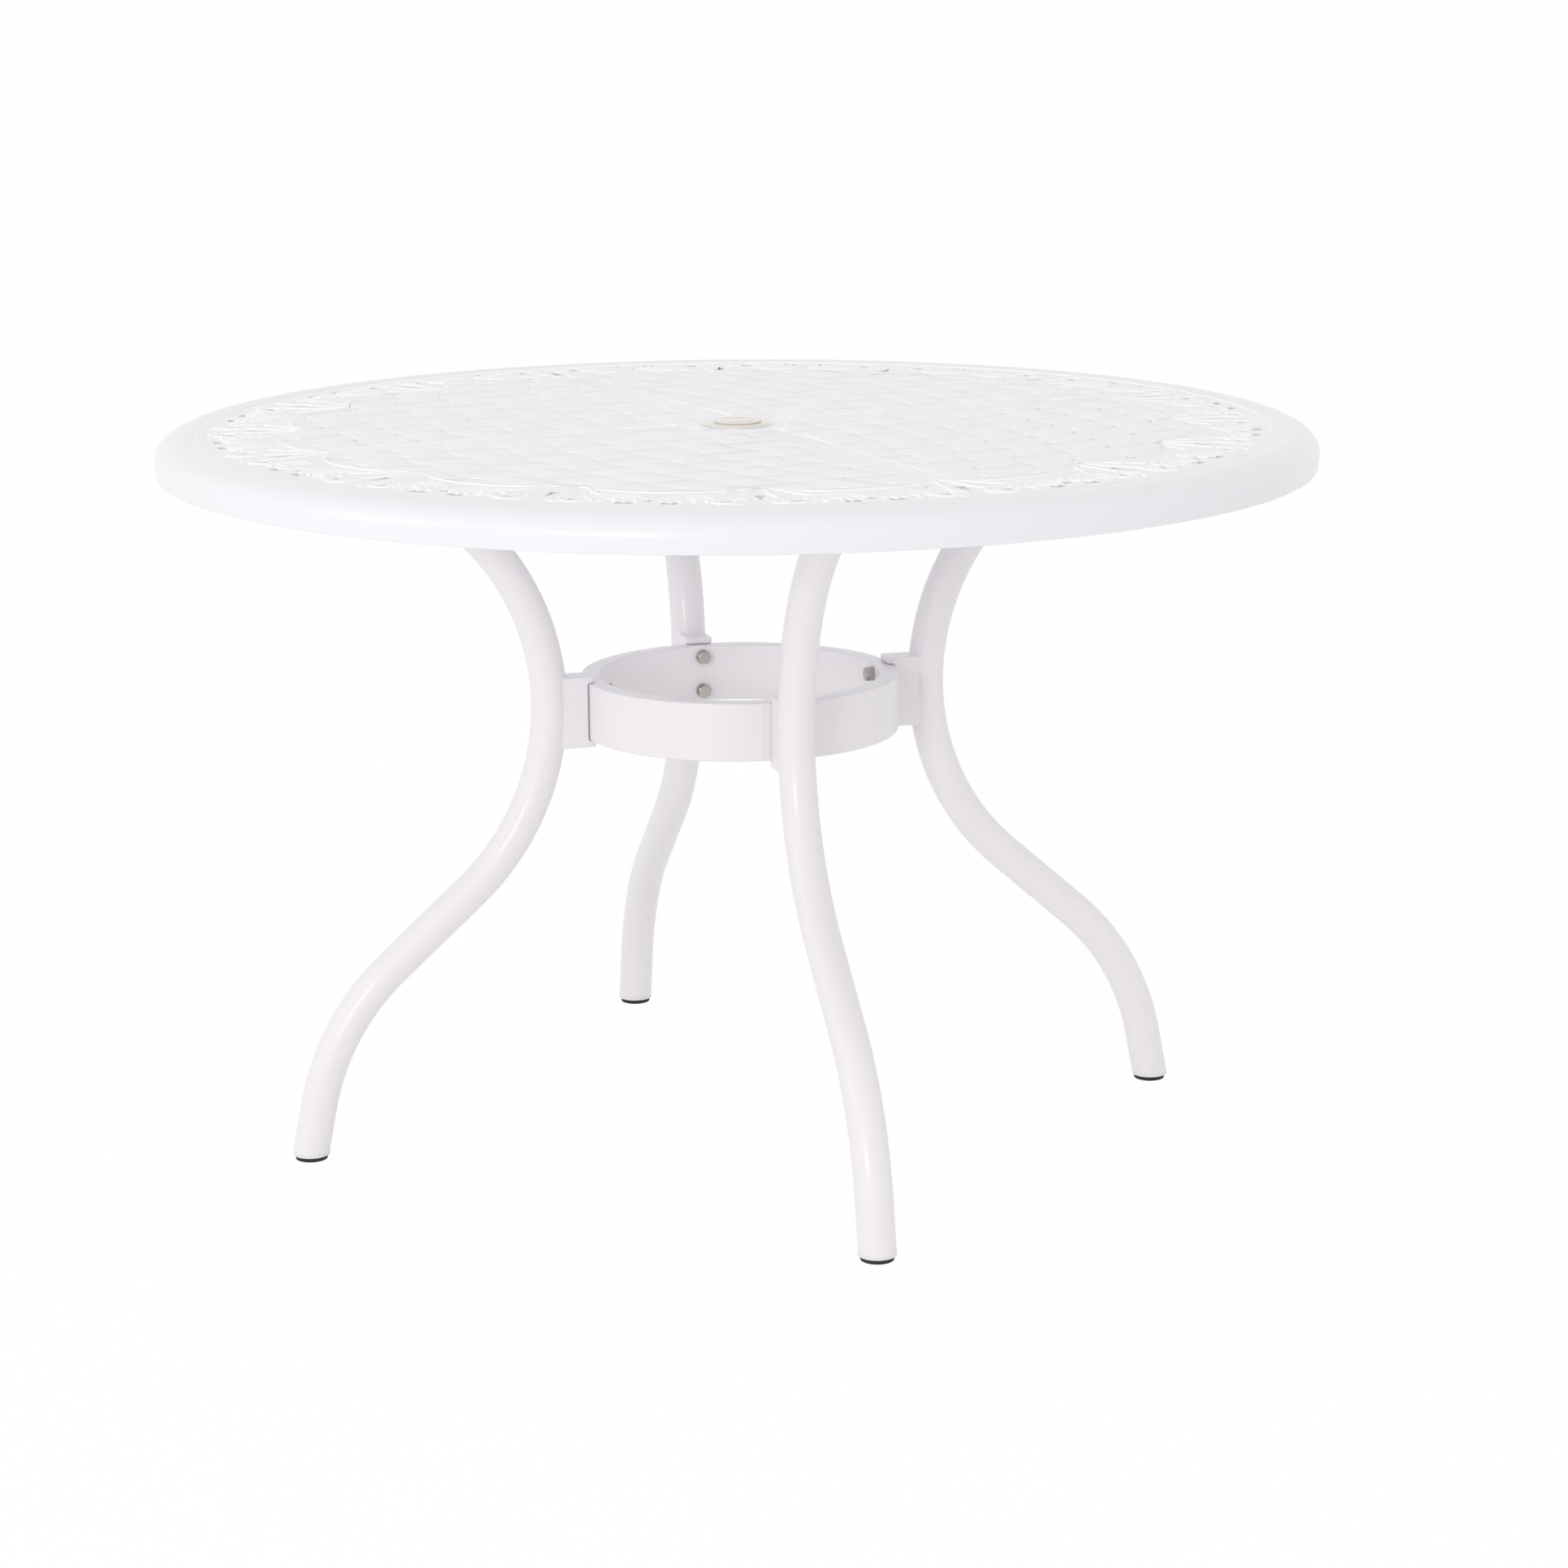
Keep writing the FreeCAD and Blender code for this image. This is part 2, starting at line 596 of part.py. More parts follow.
# Saddle: cast C bracket that hooks over the ring, hollowed to hug the bent tube
def make_saddle(k):
    body = doc.addObject("PartDesign::Body", "saddle_block_%d" % (k + 1))
    sketch = new_sketch(body, "XZ_Plane", "c_profile")
    draw(sketch, [
        ("saddle_nose", "lip_low_low"), ("saddle_back", "lip_low_low"), ("saddle_back", "lip_high_top"),
        ("saddle_nose", "lip_high_top"), ("saddle_nose", "lip_high_low"), ("saddle_face", "lip_high_low"),
        ("saddle_face", "lip_low_top"), ("saddle_nose", "lip_low_top")])
    pad = body.newObject("PartDesign::Pad", "block")
    pad.Profile = sketch
    pad.Length = v["saddle_width"]
    bind(pad, "Length", "saddle_width")
    pad.Midplane = True
    sketch.Visibility = False
    doc.recompute()
    nose = v["saddle_nose"]
    round_edges(body, pad, lambda edge: upright(edge) and abs(edge.CenterOfMass.x - nose) < near,
                "saddle_corner")
    holes_sketch = new_sketch(body, "YZ_Plane", "thread_holes")
    bind(holes_sketch, "AttachmentOffset.Base.z", "saddle_nose")
    add_circle(holes_sketch, None, "ring_bolt_low", "thread_hole_radius")
    add_circle(holes_sketch, None, "ring_bolt_high", "thread_hole_radius")
    holes = body.newObject("PartDesign::Pocket", "threads")
    holes.Profile = holes_sketch
    holes.Type = "Length"
    holes.Length = v["saddle_thread_end"] - v["saddle_nose"]
    holes.setExpression("Length", "sizes.saddle_thread_end - sizes.saddle_nose")
    holes.Reversed = True
    holes_sketch.Visibility = False
    doc.recompute()
    tube = doc.addObject("Part::Torus", "tube_seat_%d" % (k + 1))
    bind(tube, "Radius1", "bend_radius")
    tube.setExpression("Radius2", "sizes.tube_radius + sizes.weld_gap")
    tube.Placement = Placement(Vector(v["waist_reach"], 0, v["waist_height"]), Rotation(Vector(1, 0, 0), 90))
    bind(tube, "Placement.Base.x", "waist_reach")
    bind(tube, "Placement.Base.z", "waist_height")
    saddle = doc.addObject("Part::Cut", "saddle_%d" % (k + 1))
    saddle.Label = "saddle_%d" % (k + 1)
    saddle.Base = body
    saddle.Tool = tube
    saddle.Placement = turned_about_z(leg_azimuth(k))
    return saddle


# Foot insert: flange under the tube, leaning plug inside it and a threaded bore for the stud
def make_foot_insert(k):
    number = k + 1
    flange = cylinder("insert_flange_%d" % number, "insert_flange_radius", "insert_flange")
    flange.Placement = Placement(Vector(v["stud_reach"], 0, v["insert_low"]), Rotation())
    plug = cylinder("insert_plug_%d" % number, "insert_plug", "insert_plug_length")
    lean = Rotation(Vector(0, 1, 0), -v["foot_lean"])
    sink = v["insert_plug"] * math.sin(math.radians(v["foot_lean"])) - v["insert_flange"] / 2
    start = Vector(v["stud_reach"], 0, v["tube_foot"]) + lean.multVec(up) * max(sink, 0)
    plug.Placement = Placement(start, lean)
    bore = cylinder("insert_bore_%d" % number, "stud_hole", "stud_length")
    bore.setExpression("Height", "sizes.stud_length + 2 * sizes.seat_gap")
    bore.Placement = Placement(Vector(v["stud_reach"], 0, v["insert_low"] - v["seat_gap"]), Rotation())
    joined = doc.addObject("Part::Fuse", "insert_body_%d" % number)
    joined.Base = flange
    joined.Tool = plug
    insert = doc.addObject("Part::Cut", "foot_insert_%d" % number)
    insert.Label = "foot_insert_%d" % number
    insert.Base = joined
    insert.Tool = bore
    insert.Placement = turned_about_z(leg_azimuth(k))
    return insert


# Levelling foot: chamfered glide and its threaded stud
def make_levelling_foot(k):
    number = k + 1
    glide = cylinder("glide_disc_%d" % number, "glide_radius", "glide_height")
    glide.Placement = Placement(Vector(v["stud_reach"], 0, 0), Rotation())
    stud = cylinder("stud_%d" % number, "bolt_radius", "stud_length")
    stud.setExpression("Height", "sizes.stud_length + sizes.glide_height / 2")
    stud.Placement = Placement(Vector(v["stud_reach"], 0, v["glide_height"] / 2), Rotation())
    joined = doc.addObject("Part::Fuse", "foot_body_%d" % number)
    joined.Base = glide
    joined.Tool = stud
    doc.recompute()
    foot = doc.addObject("Part::Chamfer", "levelling_foot_%d" % number)
    foot.Label = "levelling_foot_%d" % number
    foot.Base = joined
    size = v["glide_chamfer"]
    foot.Edges = [(i + 1, size, size) for i, edge in enumerate(joined.Shape.Edges)
                  if isinstance(edge.Curve, Part.Circle)
                  and abs(edge.Curve.Radius - v["glide_radius"]) < near]
    foot.Placement = turned_about_z(leg_azimuth(k))
    return foot


def cylinder(name, radius, height):
    item = doc.addObject("Part::Cylinder", name)
    bind(item, "Radius", radius)
    bind(item, "Height", height)
    return item


def place_along(start, direction):
    """Placement that carries +Z onto the direction, at the start point."""
    return Placement(start, Rotation(up, direction))


def make_bolt(name, seat, direction, shank_end):
    """Hexagon bolt whose head lies behind the seat; its shank runs along the direction."""
    head = doc.addObject("Part::Prism", name + "_head")
    head.Polygon = 6
    head.setExpression("Circumradius", "sizes.bolt_flats / sqrt(3)")
    bind(head, "Height", "bolt_head")
    head.Placement = place_along(seat - direction * v["bolt_head"], direction)
    shank = doc.addObject("Part::Cylinder", name + "_shank")
    bind(shank, "Radius", "bolt_radius")
    shank.Height = shank_end + v["bolt_head"] / 2
    shank.Placement = place_along(seat - direction * (v["bolt_head"] / 2), direction)
    bolt = doc.addObject("Part::Fuse", name)
    bolt.Base = head
    bolt.Tool = shank
    return bolt


def make_washer(name, face, direction, radius, thickness, slit=False):
    """Flat washer from its face backwards; a slit makes it a spring washer."""
    disc = cylinder(name + "_disc", radius, thickness)
    hole = cylinder(name + "_hole", "bolt_hole_radius", thickness)
    for item in (disc, hole):
        item.Placement = place_along(face - direction * v[thickness], direction)
    washer = doc.addObject("Part::Cut", name)
    washer.Base = disc
    washer.Tool = hole
    if not slit:
        return washer
    cut = doc.addObject("Part::Box", name + "_slit")
    bind(cut, "Length", radius)
    bind(cut, "Width", "spring_washer_slit")
    bind(cut, "Height", thickness)
    cut.Placement = place_along(face - direction * v[thickness], direction)
    split = doc.addObject("Part::Cut", name + "_split")
    split.Base = washer
    split.Tool = cut
    return split


def make_group(label, members):
    group = doc.addObject("Part::Compound", label)
    group.Label = label
    group.Links = members
    return group


# Top bolts: up through each plate into the casting's bosses, with a flat washer
def make_top_fasteners():
    bolts = []
    washers = []
    for k in range(4):
        outward = Rotation(up, leg_azimuth(k)).multVec(Vector(1, 0, 0))
        for sign in (-1, 1):
            reach = v["plate_reach"] + sign * v["top_bolt_spacing"] / 2
            face = outward * reach + up * v["leg_plate_low"]
            name = "top_%d%s" % (k + 1, "a" if sign < 0 else "b")
            washers.append(make_washer(name + "_washer", face, up, "washer_radius", "washer_thickness"))
            seat = face - up * v["washer_thickness"]
            length = v["washer_thickness"] + v["leg_plate_thickness"] + v["bolt_grip"]
            bolts.append(make_bolt(name + "_bolt", seat, up, length))
    return [make_group("top_bolts", bolts), make_group("top_washers", washers)]


# Ring bolts: from inside the ring into the saddles, with a flat and a spring washer
def make_ring_fasteners():
    bolts = []
    flats = []
    springs = []
    for k in range(4):
        outward = Rotation(up, leg_azimuth(k)).multVec(Vector(1, 0, 0))
        for letter, height in (("a", "ring_bolt_low"), ("b", "ring_bolt_high")):
            name = "ring_%d%s" % (k + 1, letter)
            face = outward * (v["ring_inside"] - v["curve_gap"]) + up * v[height]
            flats.append(make_washer(name + "_flat", face, outward, "washer_radius", "washer_thickness"))
            face = face - outward * v["washer_thickness"]
            springs.append(make_washer(name + "_spring", face, outward, "spring_washer_radius",
                                       "spring_washer_thickness", slit=True))
            seat = face - outward * v["spring_washer_thickness"]
            length = (v["curve_gap"] + v["washer_thickness"] + v["spring_washer_thickness"]
                      + v["ring_depth"] + v["saddle_gap"] + v["bolt_grip"])
            bolts.append(make_bolt(name + "_bolt", seat, outward, length))
    return [make_group("ring_bolts", bolts), make_group("ring_flat_washers", flats),
            make_group("ring_spring_washers", springs)]


# Quarter casting, built between a rib along +X and a rib along +Y and then turned into place
def polar(radius, degrees, height=0.0):
    angle = math.radians(degrees)
    return Vector(radius * math.cos(angle), radius * math.sin(angle), height)


def bowed(across, along, height):
    """Place of a point of the square weave once its strips bow outwards."""
    x, y = across, along
    for _ in range(bow_steps):
        x, y = (across - (y - v["weave_bow_peak"]) ** 2 / (2 * v["weave_bow_radius"]),
                along - (x - v["weave_bow_peak"]) ** 2 / (2 * v["weave_bow_radius"]))
    return Vector(x, y, height)


def prism(corners, low, high):
    wire = Part.makePolygon([Vector(p.x, p.y, low) for p in corners + corners[:1]])
    return Part.Face(wire).extrude(up * (high - low))


def scalloped(cusp, rise, low, high):
    """Wedge of the quarter out to the scalloped line that bulges between its cusps."""
    lobes = int(v["lobe_count"]) // 4
    step = 90.0 / lobes
    edges = [Part.LineSegment(Vector(0, 0, low), polar(cusp, 0, low)).toShape()]
    for i in range(lobes):
        edges.append(Part.Arc(polar(cusp, step * i, low), polar(cusp + rise, step * (i + 0.5), low),
                              polar(cusp, step * (i + 1), low)).toShape())
    edges.append(Part.LineSegment(polar(cusp, 90, low), Vector(0, 0, low)).toShape())
    return Part.Face(Part.Wire(edges)).extrude(up * (high - low))


def quarter_disc(radius, low, high):
    return Part.makeCylinder(radius, high - low, Vector(0, 0, low), up, 90)


def weave_pads(low, high, field):
    """Arched strips, each over its crossing, alternately along the two ribs."""
    half_width = (v["weave_pitch"] - v["weave_gap"]) / 2
    half_length = half_width + v["weave_gap"]
    count = int(v["rim_inner"] / v["weave_pitch"]) + 1
    centres = [v["weave_first"] + v["weave_pitch"] * (i - 0.5) for i in range(count)]
    limit = v["rail_cusp_radius"] + v["rail_lobe_rise"]
    rise = high - low
    arch = (half_length ** 2 + rise ** 2) / (2 * rise)
    pads = []
    for i, across in enumerate(centres):
        for j, along in enumerate(centres):
            middle = bowed(across, along, low)
            if middle.Length - half_length > math.hypot(limit, low):
                continue
            a, b = (half_length, half_width) if (i + j) % 2 == 0 else (half_width, half_length)
            corners = [bowed(across + s * a, along + t * b, low)
                       for s, t in ((-1, -1), (1, -1), (1, 1), (-1, 1))]
            start = bowed(across - (a if a > b else 0), along - (b if b > a else 0), low)
            end = bowed(across + (a if a > b else 0), along + (b if b > a else 0), low)
            run = (end - start).normalize()
            beside = Vector(-run.y, run.x, 0)
            block = prism(corners, low - 0.5 * v["plate_thickness"], high)
            crown = Part.makeCylinder(arch, 4 * half_length,
                                      middle + up * (rise - arch) - beside * 2 * half_length, beside)
            pad = block.common(crown).common(field)
            if pad.Volume > least_piece_volume:
                pads.append(pad)
    return pads


def weave_holes(low, high):
    """Small square holes where the gaps between the strips cross."""
    half = v["weave_gap"] / 2
    count = int(v["rim_inner"] / v["weave_pitch"]) + 1
    lines = [v["weave_first"] + v["weave_pitch"] * i for i in range(count)]
    holes = []
    for across in lines:
        for along in lines:
            corners = [bowed(across + s * half, along + t * half, low)
                       for s, t in ((-1, -1), (1, -1), (1, 1), (-1, 1))]
            reach = max(math.hypot(p.x, p.y) for p in corners) + half
            inset = min(min(p.x, p.y) for p in corners)
            if reach > v["rail_cusp_radius"] or inset < v["rib_half_width"]:
                continue
            holes.append(prism(corners, low, high))
    return holes


def band(centre, outer, inner, begin, sweep, low, high):
    """Piece of a flat ring about a centre."""
    height = high - low
    base = Vector(centre.x, centre.y, low)
    ring = Part.makeCylinder(outer, height, base, up, sweep).cut(
        Part.makeCylinder(inner, height, base, up, sweep))
    ring.rotate(base, up, begin)
    return ring


def slot(radius, degrees, length, width, low, high):
    """Straight slot across a radius of the quarter."""
    block = Part.makeBox(width, length, high - low, Vector(radius - width / 2, -length / 2, low))
    block.rotate(origin, up, degrees)
    return block


def ridge(centre, side, radius, start, sweep, low, high):
    """Curved ridge of a volute. Angles run from the side away from the cusp towards the rail."""
    facing = math.degrees(math.atan2(centre.y, centre.x))
    begin = facing + 90 + start if side > 0 else facing - 90 - start - sweep
    half = v["ridge_width"] / 2
    return band(centre, radius + half, radius - half, begin, sweep, low, high)


def leaf(tip, joint, side, low, high):
    """Tapered bar that leaves the rail and runs into a volute."""
    run = joint - tip
    beside = Vector(-run.y, run.x, 0).normalize()
    root = beside * v["leaf_width"] / 2
    point = beside * v["leaf_tip_width"] / 2
    middle = (tip + joint) * 0.5 - beside * side * v["leaf_bend"]
    outer = Part.Arc(tip - point, middle - root, joint - root).toShape()
    end = Part.LineSegment(joint - root, joint + root).toShape()
    inner = Part.Arc(joint + root, middle + root, tip + point).toShape()
    start = Part.LineSegment(tip + point, tip - point).toShape()
    return Part.Face(Part.Wire([outer, end, inner, start])).extrude(up * (high - low))


def cusp_scrolls(cusp, side, low, high):
    """Large volute, small curl and the two leaves on one side of a cusp."""
    volute = polar(v["volute_ring_radius"], cusp + side * v["volute_angle"])
    curl = polar(v["curl_ring_radius"], cusp + side * v["curl_angle"])
    raised = []
    for n in range(int(v["volute_ridges"])):
        raised.append(ridge(volute, side, v["volute_eye"] + n * v["ridge_pitch"],
                            v["volute_start"] + n * v["volute_start_step"],
                            v["volute_sweep"] - n * v["volute_sweep_step"], low, high))
    raised.append(ridge(curl, side, v["curl_eye"], v["curl_start"], v["curl_sweep"], low, high))
    raised.append(ridge(curl, side, v["curl_eye"] + v["ridge_pitch"], v["curl_start"],
                        v["curl_outer_sweep"], low, high))
    rail = v["rail_cusp_radius"] + v["rail_width"]
    curl_top = v["curl_ring_radius"] - v["curl_eye"] - v["ridge_width"] / 2
    raised.append(leaf(polar(rail, cusp + side * v["inner_leaf_angle"], low),
                       polar(curl_top, cusp + side * v["inner_leaf_end_angle"], low), side, low, high))
    reach = v["volute_eye"] + (v["volute_ridges"] - 1) * v["ridge_pitch"]
    volute_top = v["volute_ring_radius"] - reach + v["ridge_width"]
    raised.append(leaf(polar(rail + v["rail_width"], cusp + side * v["outer_leaf_angle"], low),
                       polar(volute_top, cusp + side * v["outer_leaf_end_angle"], low), side, low, high))
    return raised


def cusp_piercings(cusp, side, low, high):
    """Openings through the plate on one side of a cusp."""
    return [
        slot(v["volute_hole_radius"], cusp + side * v["volute_hole_angle"], v["volute_hole_length"],
             v["volute_hole_width"], low, high),
        slot(v["curl_ring_radius"], cusp + side * v["curl_angle"], v["curl_hole_size"],
             v["curl_hole_size"], low, high),
        slot(v["rail_hole_radius"], cusp + side * v["rail_hole_angle"], v["rail_hole_length"],
             v["rail_hole_width"], low, high)]


def cusp_hole(cusp, low, high):
    """Wedge-shaped opening under a cusp, with its point towards the rim."""
    half = math.degrees(v["cusp_hole_width"] / 2 / v["cusp_hole_radius"])
    corners = [polar(v["cusp_hole_radius"], cusp - half),
               polar(v["cusp_hole_radius"] + v["cusp_hole_length"], cusp),
               polar(v["cusp_hole_radius"], cusp + half)]
    return prism(corners, low, high)


def scroll_work(low, high, plate_low):
    """Raised scrolls of the quarter's lobes and the piercings between them."""
    raised = []
    holes = []
    lobes = int(v["lobe_count"]) // 4
    step = 90.0 / lobes
    for i in range(lobes):
        for side, cusp in ((1, step * i), (-1, step * (i + 1))):
            raised += cusp_scrolls(cusp, side, low, high)
            holes += cusp_piercings(cusp, side, plate_low, high)
        holes.append(slot(v["lobe_hole_radius"], step * (i + 0.5), v["lobe_hole_size"],
                          v["lobe_hole_size"], plate_low, high))
    holes += [cusp_hole(step * i, plate_low, high) for i in range(lobes + 1)]
    return raised, holes


def quarter_casting():
    low, mid, high = v["plate_low"], v["plate_top"], v["lattice_top"]
    outer = v["rim_inner"] - v["curve_gap"]
    inner = v["hub_radius"] + v["curve_gap"]
    rib = v["rib_half_width"]
    root = mid - 0.5 * v["plate_thickness"]
    inside = v["casting_gap"] / 2
    plate = quarter_disc(outer, low, mid).cut(quarter_disc(inner, low, mid))
    raised, piercings = scroll_work(root, mid + v["scroll_rise"], low)
    plate = plate.cut(weave_holes(low, mid))

    field = scalloped(v["rail_cusp_radius"] + v["rail_width"] / 2, v["rail_lobe_rise"], root, high)
    field = field.common(Part.makeBox(outer, outer, high - root, Vector(rib, rib, root)))
    field = field.cut(quarter_disc(inner + v["collar_width"], root, high))
    pads = weave_pads(mid, high, field)

    rail = scalloped(v["rail_cusp_radius"] + v["rail_width"], v["rail_lobe_rise"], root, high).cut(
        scalloped(v["rail_cusp_radius"], v["rail_lobe_rise"], root, high))
    border = quarter_disc(outer, root, high).cut(quarter_disc(outer - v["border_width"], root, high))
    collar = quarter_disc(inner + v["collar_width"], root, high).cut(quarter_disc(inner, root, high))
    rib_top = mid + v["rib_rise"]
    ribs = Part.makeBox(outer, rib, rib_top - root, Vector(0, 0, root)).fuse(
        Part.makeBox(rib, outer, rib_top - root, Vector(0, 0, root)))
    ribs = ribs.common(scalloped(v["rail_cusp_radius"] + v["rail_width"] / 2, v["rail_lobe_rise"],
                                 root, high)).cut(quarter_disc(inner, root, high))

    bosses = []
    for sign in (-1, 1):
        reach = v["plate_reach"] + sign * v["top_bolt_spacing"] / 2
        place = polar(reach, 90 - v["top_turn"], v["boss_low"])
        boss = Part.makeCylinder(v["boss_radius"], root - v["boss_low"], place)
        hole = Part.makeCylinder(v["thread_hole_radius"], v["bolt_grip"] + v["thread_spare"], place)
        bosses.append(boss.cut(hole))
    casting = plate.multiFuse(pads + raised + [ribs, rail, border, collar]).cut(piercings)
    sector = Part.makeBox(outer, outer, high - v["boss_low"], Vector(inside, inside, v["boss_low"]))
    casting = casting.common(sector).multiFuse(bosses)
    return casting.removeSplitter()


def make_castings():
    shape = quarter_casting()
    castings = []
    for k in range(4):
        casting = doc.addObject("Part::Feature", "top_casting_%d" % (k + 1))
        casting.Label = "top_casting_%d" % (k + 1)
        casting.Shape = shape
        casting.Placement = turned_about_z(leg_azimuth(k) + v["top_turn"] - 90)
        castings.append(casting)
    return castings


def check_document():
    """Every object has to be sound before anything is written."""
    for item in doc.Objects:
        if any(word in item.State for word in ("Invalid", "Error")):
            raise RuntimeError("failed object: " + item.Label)


def write_parts(parts):
    os.makedirs("parts", exist_ok=True)
    for part in parts:
        shape = part.Shape
        if shape.isNull() or not shape.isValid() or shape.Volume <= 0:
            raise RuntimeError("bad shape: " + part.Label)
        shape.exportStep("parts/%s.step" % part.Label)
        print(part.Label, len(shape.Solids), round(shape.Volume / 1000, 2))


parts = [make_rim(), make_hub(), make_umbrella_ring(), make_umbrella_cap(), make_brace_ring()]
for k in range(4):
    parts += [make_leg(k), make_leg_plate(k), make_saddle(k), make_foot_insert(k), make_levelling_foot(k)]
parts += make_top_fasteners()
parts += make_ring_fasteners()
parts += make_castings()
doc.recompute()
check_document()
write_parts(parts)
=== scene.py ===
import math

import bmesh
import bpy
from mathutils import Matrix, Vector


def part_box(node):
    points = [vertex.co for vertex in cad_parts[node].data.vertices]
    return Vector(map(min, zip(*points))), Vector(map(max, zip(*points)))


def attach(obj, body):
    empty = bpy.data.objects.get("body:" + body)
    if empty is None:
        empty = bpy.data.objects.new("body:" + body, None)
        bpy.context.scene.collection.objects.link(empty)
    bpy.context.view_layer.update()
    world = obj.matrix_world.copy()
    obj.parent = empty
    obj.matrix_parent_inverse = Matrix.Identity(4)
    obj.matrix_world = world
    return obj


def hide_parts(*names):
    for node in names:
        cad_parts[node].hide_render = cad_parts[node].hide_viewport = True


# Umbrella table: woven cast top in a rolled rim, bent tube legs, brace ring and levelling feet.
# Lengths are in millimetres and angles in degrees, unless a note says otherwise.
# Finished meshes are in metres.
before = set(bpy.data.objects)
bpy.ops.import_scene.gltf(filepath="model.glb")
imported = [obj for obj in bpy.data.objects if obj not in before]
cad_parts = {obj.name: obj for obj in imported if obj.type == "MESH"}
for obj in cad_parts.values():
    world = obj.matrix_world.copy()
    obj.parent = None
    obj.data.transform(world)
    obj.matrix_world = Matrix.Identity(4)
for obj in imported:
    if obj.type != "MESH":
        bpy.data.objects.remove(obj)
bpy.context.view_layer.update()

mm = 0.001
legAzimuths = [45, 135, 225, 315]
toMetres = Matrix.Diagonal((mm, mm, mm, 1))
near = 0.1                   # slack when edges and points are picked by their place
joinReach = 1e-3             # points closer than this become one
cutReach = 1e-4              # points closer than this to a cutting plane count as on it
roundSteps = 96              # faces round the hub, its ring and its cap


def srgb(hexColour):
    channels = [int(hexColour[i:i + 2], 16) / 255 for i in (0, 2, 4)]
    return [c / 12.92 if c <= 0.04045 else ((c + 0.055) / 1.055) ** 2.4 for c in channels] + [1]


def addNode(tree, kind, settings=None, links=None):
    node = tree.nodes.new(kind)
    for name, value in (settings or {}).items():
        if isinstance(name, int) or name in node.inputs:
            node.inputs[name].default_value = value
        else:
            setattr(node, name, value)
    for name, socket in (links or {}).items():
        tree.links.new(socket, node.inputs[name])
    return node


def newMaterial(name):
    material = bpy.data.materials.new(name)
    material.use_nodes = True
    tree = material.node_tree
    tree.nodes.clear()
    return material, tree


# Powder coat on cast and bent metal: smooth, glossy and faintly dimpled like orange peel
powderCoat = {
    # The rim's colour is a shade darker than the castings' as painted light, since the lamps light the
    # rim more than the tops
    "colour": "ECEBEF",
    "shade": "E8E7EB",
    # The edge colour is painted on steep sides as a painted highlight; here it is the coat's own colour,
    # so it adds none
    "edge": "ECEBEF",
    "flatLevel": 0.97,       # levelness of a face, 0 to 1, where the coat starts to take its edge colour
    "steepLevel": 0.6,       # and where it has all of it
    "roughness": 0.3,
    "specular": 0.5,
    "coat": 0.3,
    "coatRoughness": 0.1,
    "peelSpacing": 2.6,      # mm between dimples, drawn a little coarser than the real 1 to 2 mm
    "peelDepth": 0.08,       # mm
    "cloudSpacing": 90,      # mm, slow changes in how thick the powder lies
}


def makePowderCoat(name, values):
    material, tree = newMaterial(name)
    place = addNode(tree, "ShaderNodeTexCoord")
    peel = addNode(tree, "ShaderNodeTexNoise",
                   {"Scale": 1 / (values["peelSpacing"] * mm), "Detail": 2.0, "Roughness": 0.45},
                   {"Vector": place.outputs["Object"]})
    clouds = addNode(tree, "ShaderNodeTexNoise",
                     {"Scale": 1 / (values["cloudSpacing"] * mm), "Detail": 2.0},
                     {"Vector": place.outputs["Object"]})
    bump = addNode(tree, "ShaderNodeBump", {"Strength": 1.0, "Distance": values["peelDepth"] * mm},
                   {"Height": peel.outputs["Fac"]})
    tint = addNode(tree, "ShaderNodeMix",
                   {"data_type": "RGBA", 6: srgb(values["colour"]), 7: srgb(values["shade"])},
                   {0: clouds.outputs["Fac"]})
    facing = addNode(tree, "ShaderNodeSeparateXYZ", {},
                     {0: addNode(tree, "ShaderNodeNewGeometry").outputs["Normal"]})
    level = addNode(tree, "ShaderNodeMath", {"operation": "ABSOLUTE"}, {0: facing.outputs["Z"]})
    steep = addNode(tree, "ShaderNodeMapRange",
                    {"From Min": values["flatLevel"], "From Max": values["steepLevel"]},
                    {0: level.outputs[0]})
    # Steep sides take the edge colour, a painted highlight
    coated = addNode(tree, "ShaderNodeMix", {"data_type": "RGBA", 7: srgb(values["edge"])},
                     {0: steep.outputs[0], 6: tint.outputs[2]})
    # Steep walls between two heights take a greyer colour: painted shade inside the openings
    if "paintedWallShade" in values:
        height = addNode(tree, "ShaderNodeSeparateXYZ", {}, {0: place.outputs["Object"]})
        inside = steep
        for operation, limit in (("GREATER_THAN", "paintedShadeLow"), ("LESS_THAN", "paintedShadeHigh")):
            within = addNode(tree, "ShaderNodeMath",
                             {"operation": operation, 1: values[limit] * mm}, {0: height.outputs["Z"]})
            inside = addNode(tree, "ShaderNodeMath", {"operation": "MULTIPLY"},
                             {0: inside.outputs[0], 1: within.outputs[0]})
        coated = addNode(tree, "ShaderNodeMix", {"data_type": "RGBA", 7: srgb(values["paintedWallShade"])},
                         {0: inside.outputs[0], 6: coated.outputs[2]})
    shader = addNode(tree, "ShaderNodeBsdfPrincipled",
                     {"Roughness": values["roughness"], "Specular IOR Level": values["specular"],
                      "Coat Weight": values["coat"], "Coat Roughness": values["coatRoughness"]},
                     {"Base Color": coated.outputs[2], "Normal": bump.outputs["Normal"]})
    addNode(tree, "ShaderNodeOutputMaterial", {}, {"Surface": shader.outputs["BSDF"]})
    return material


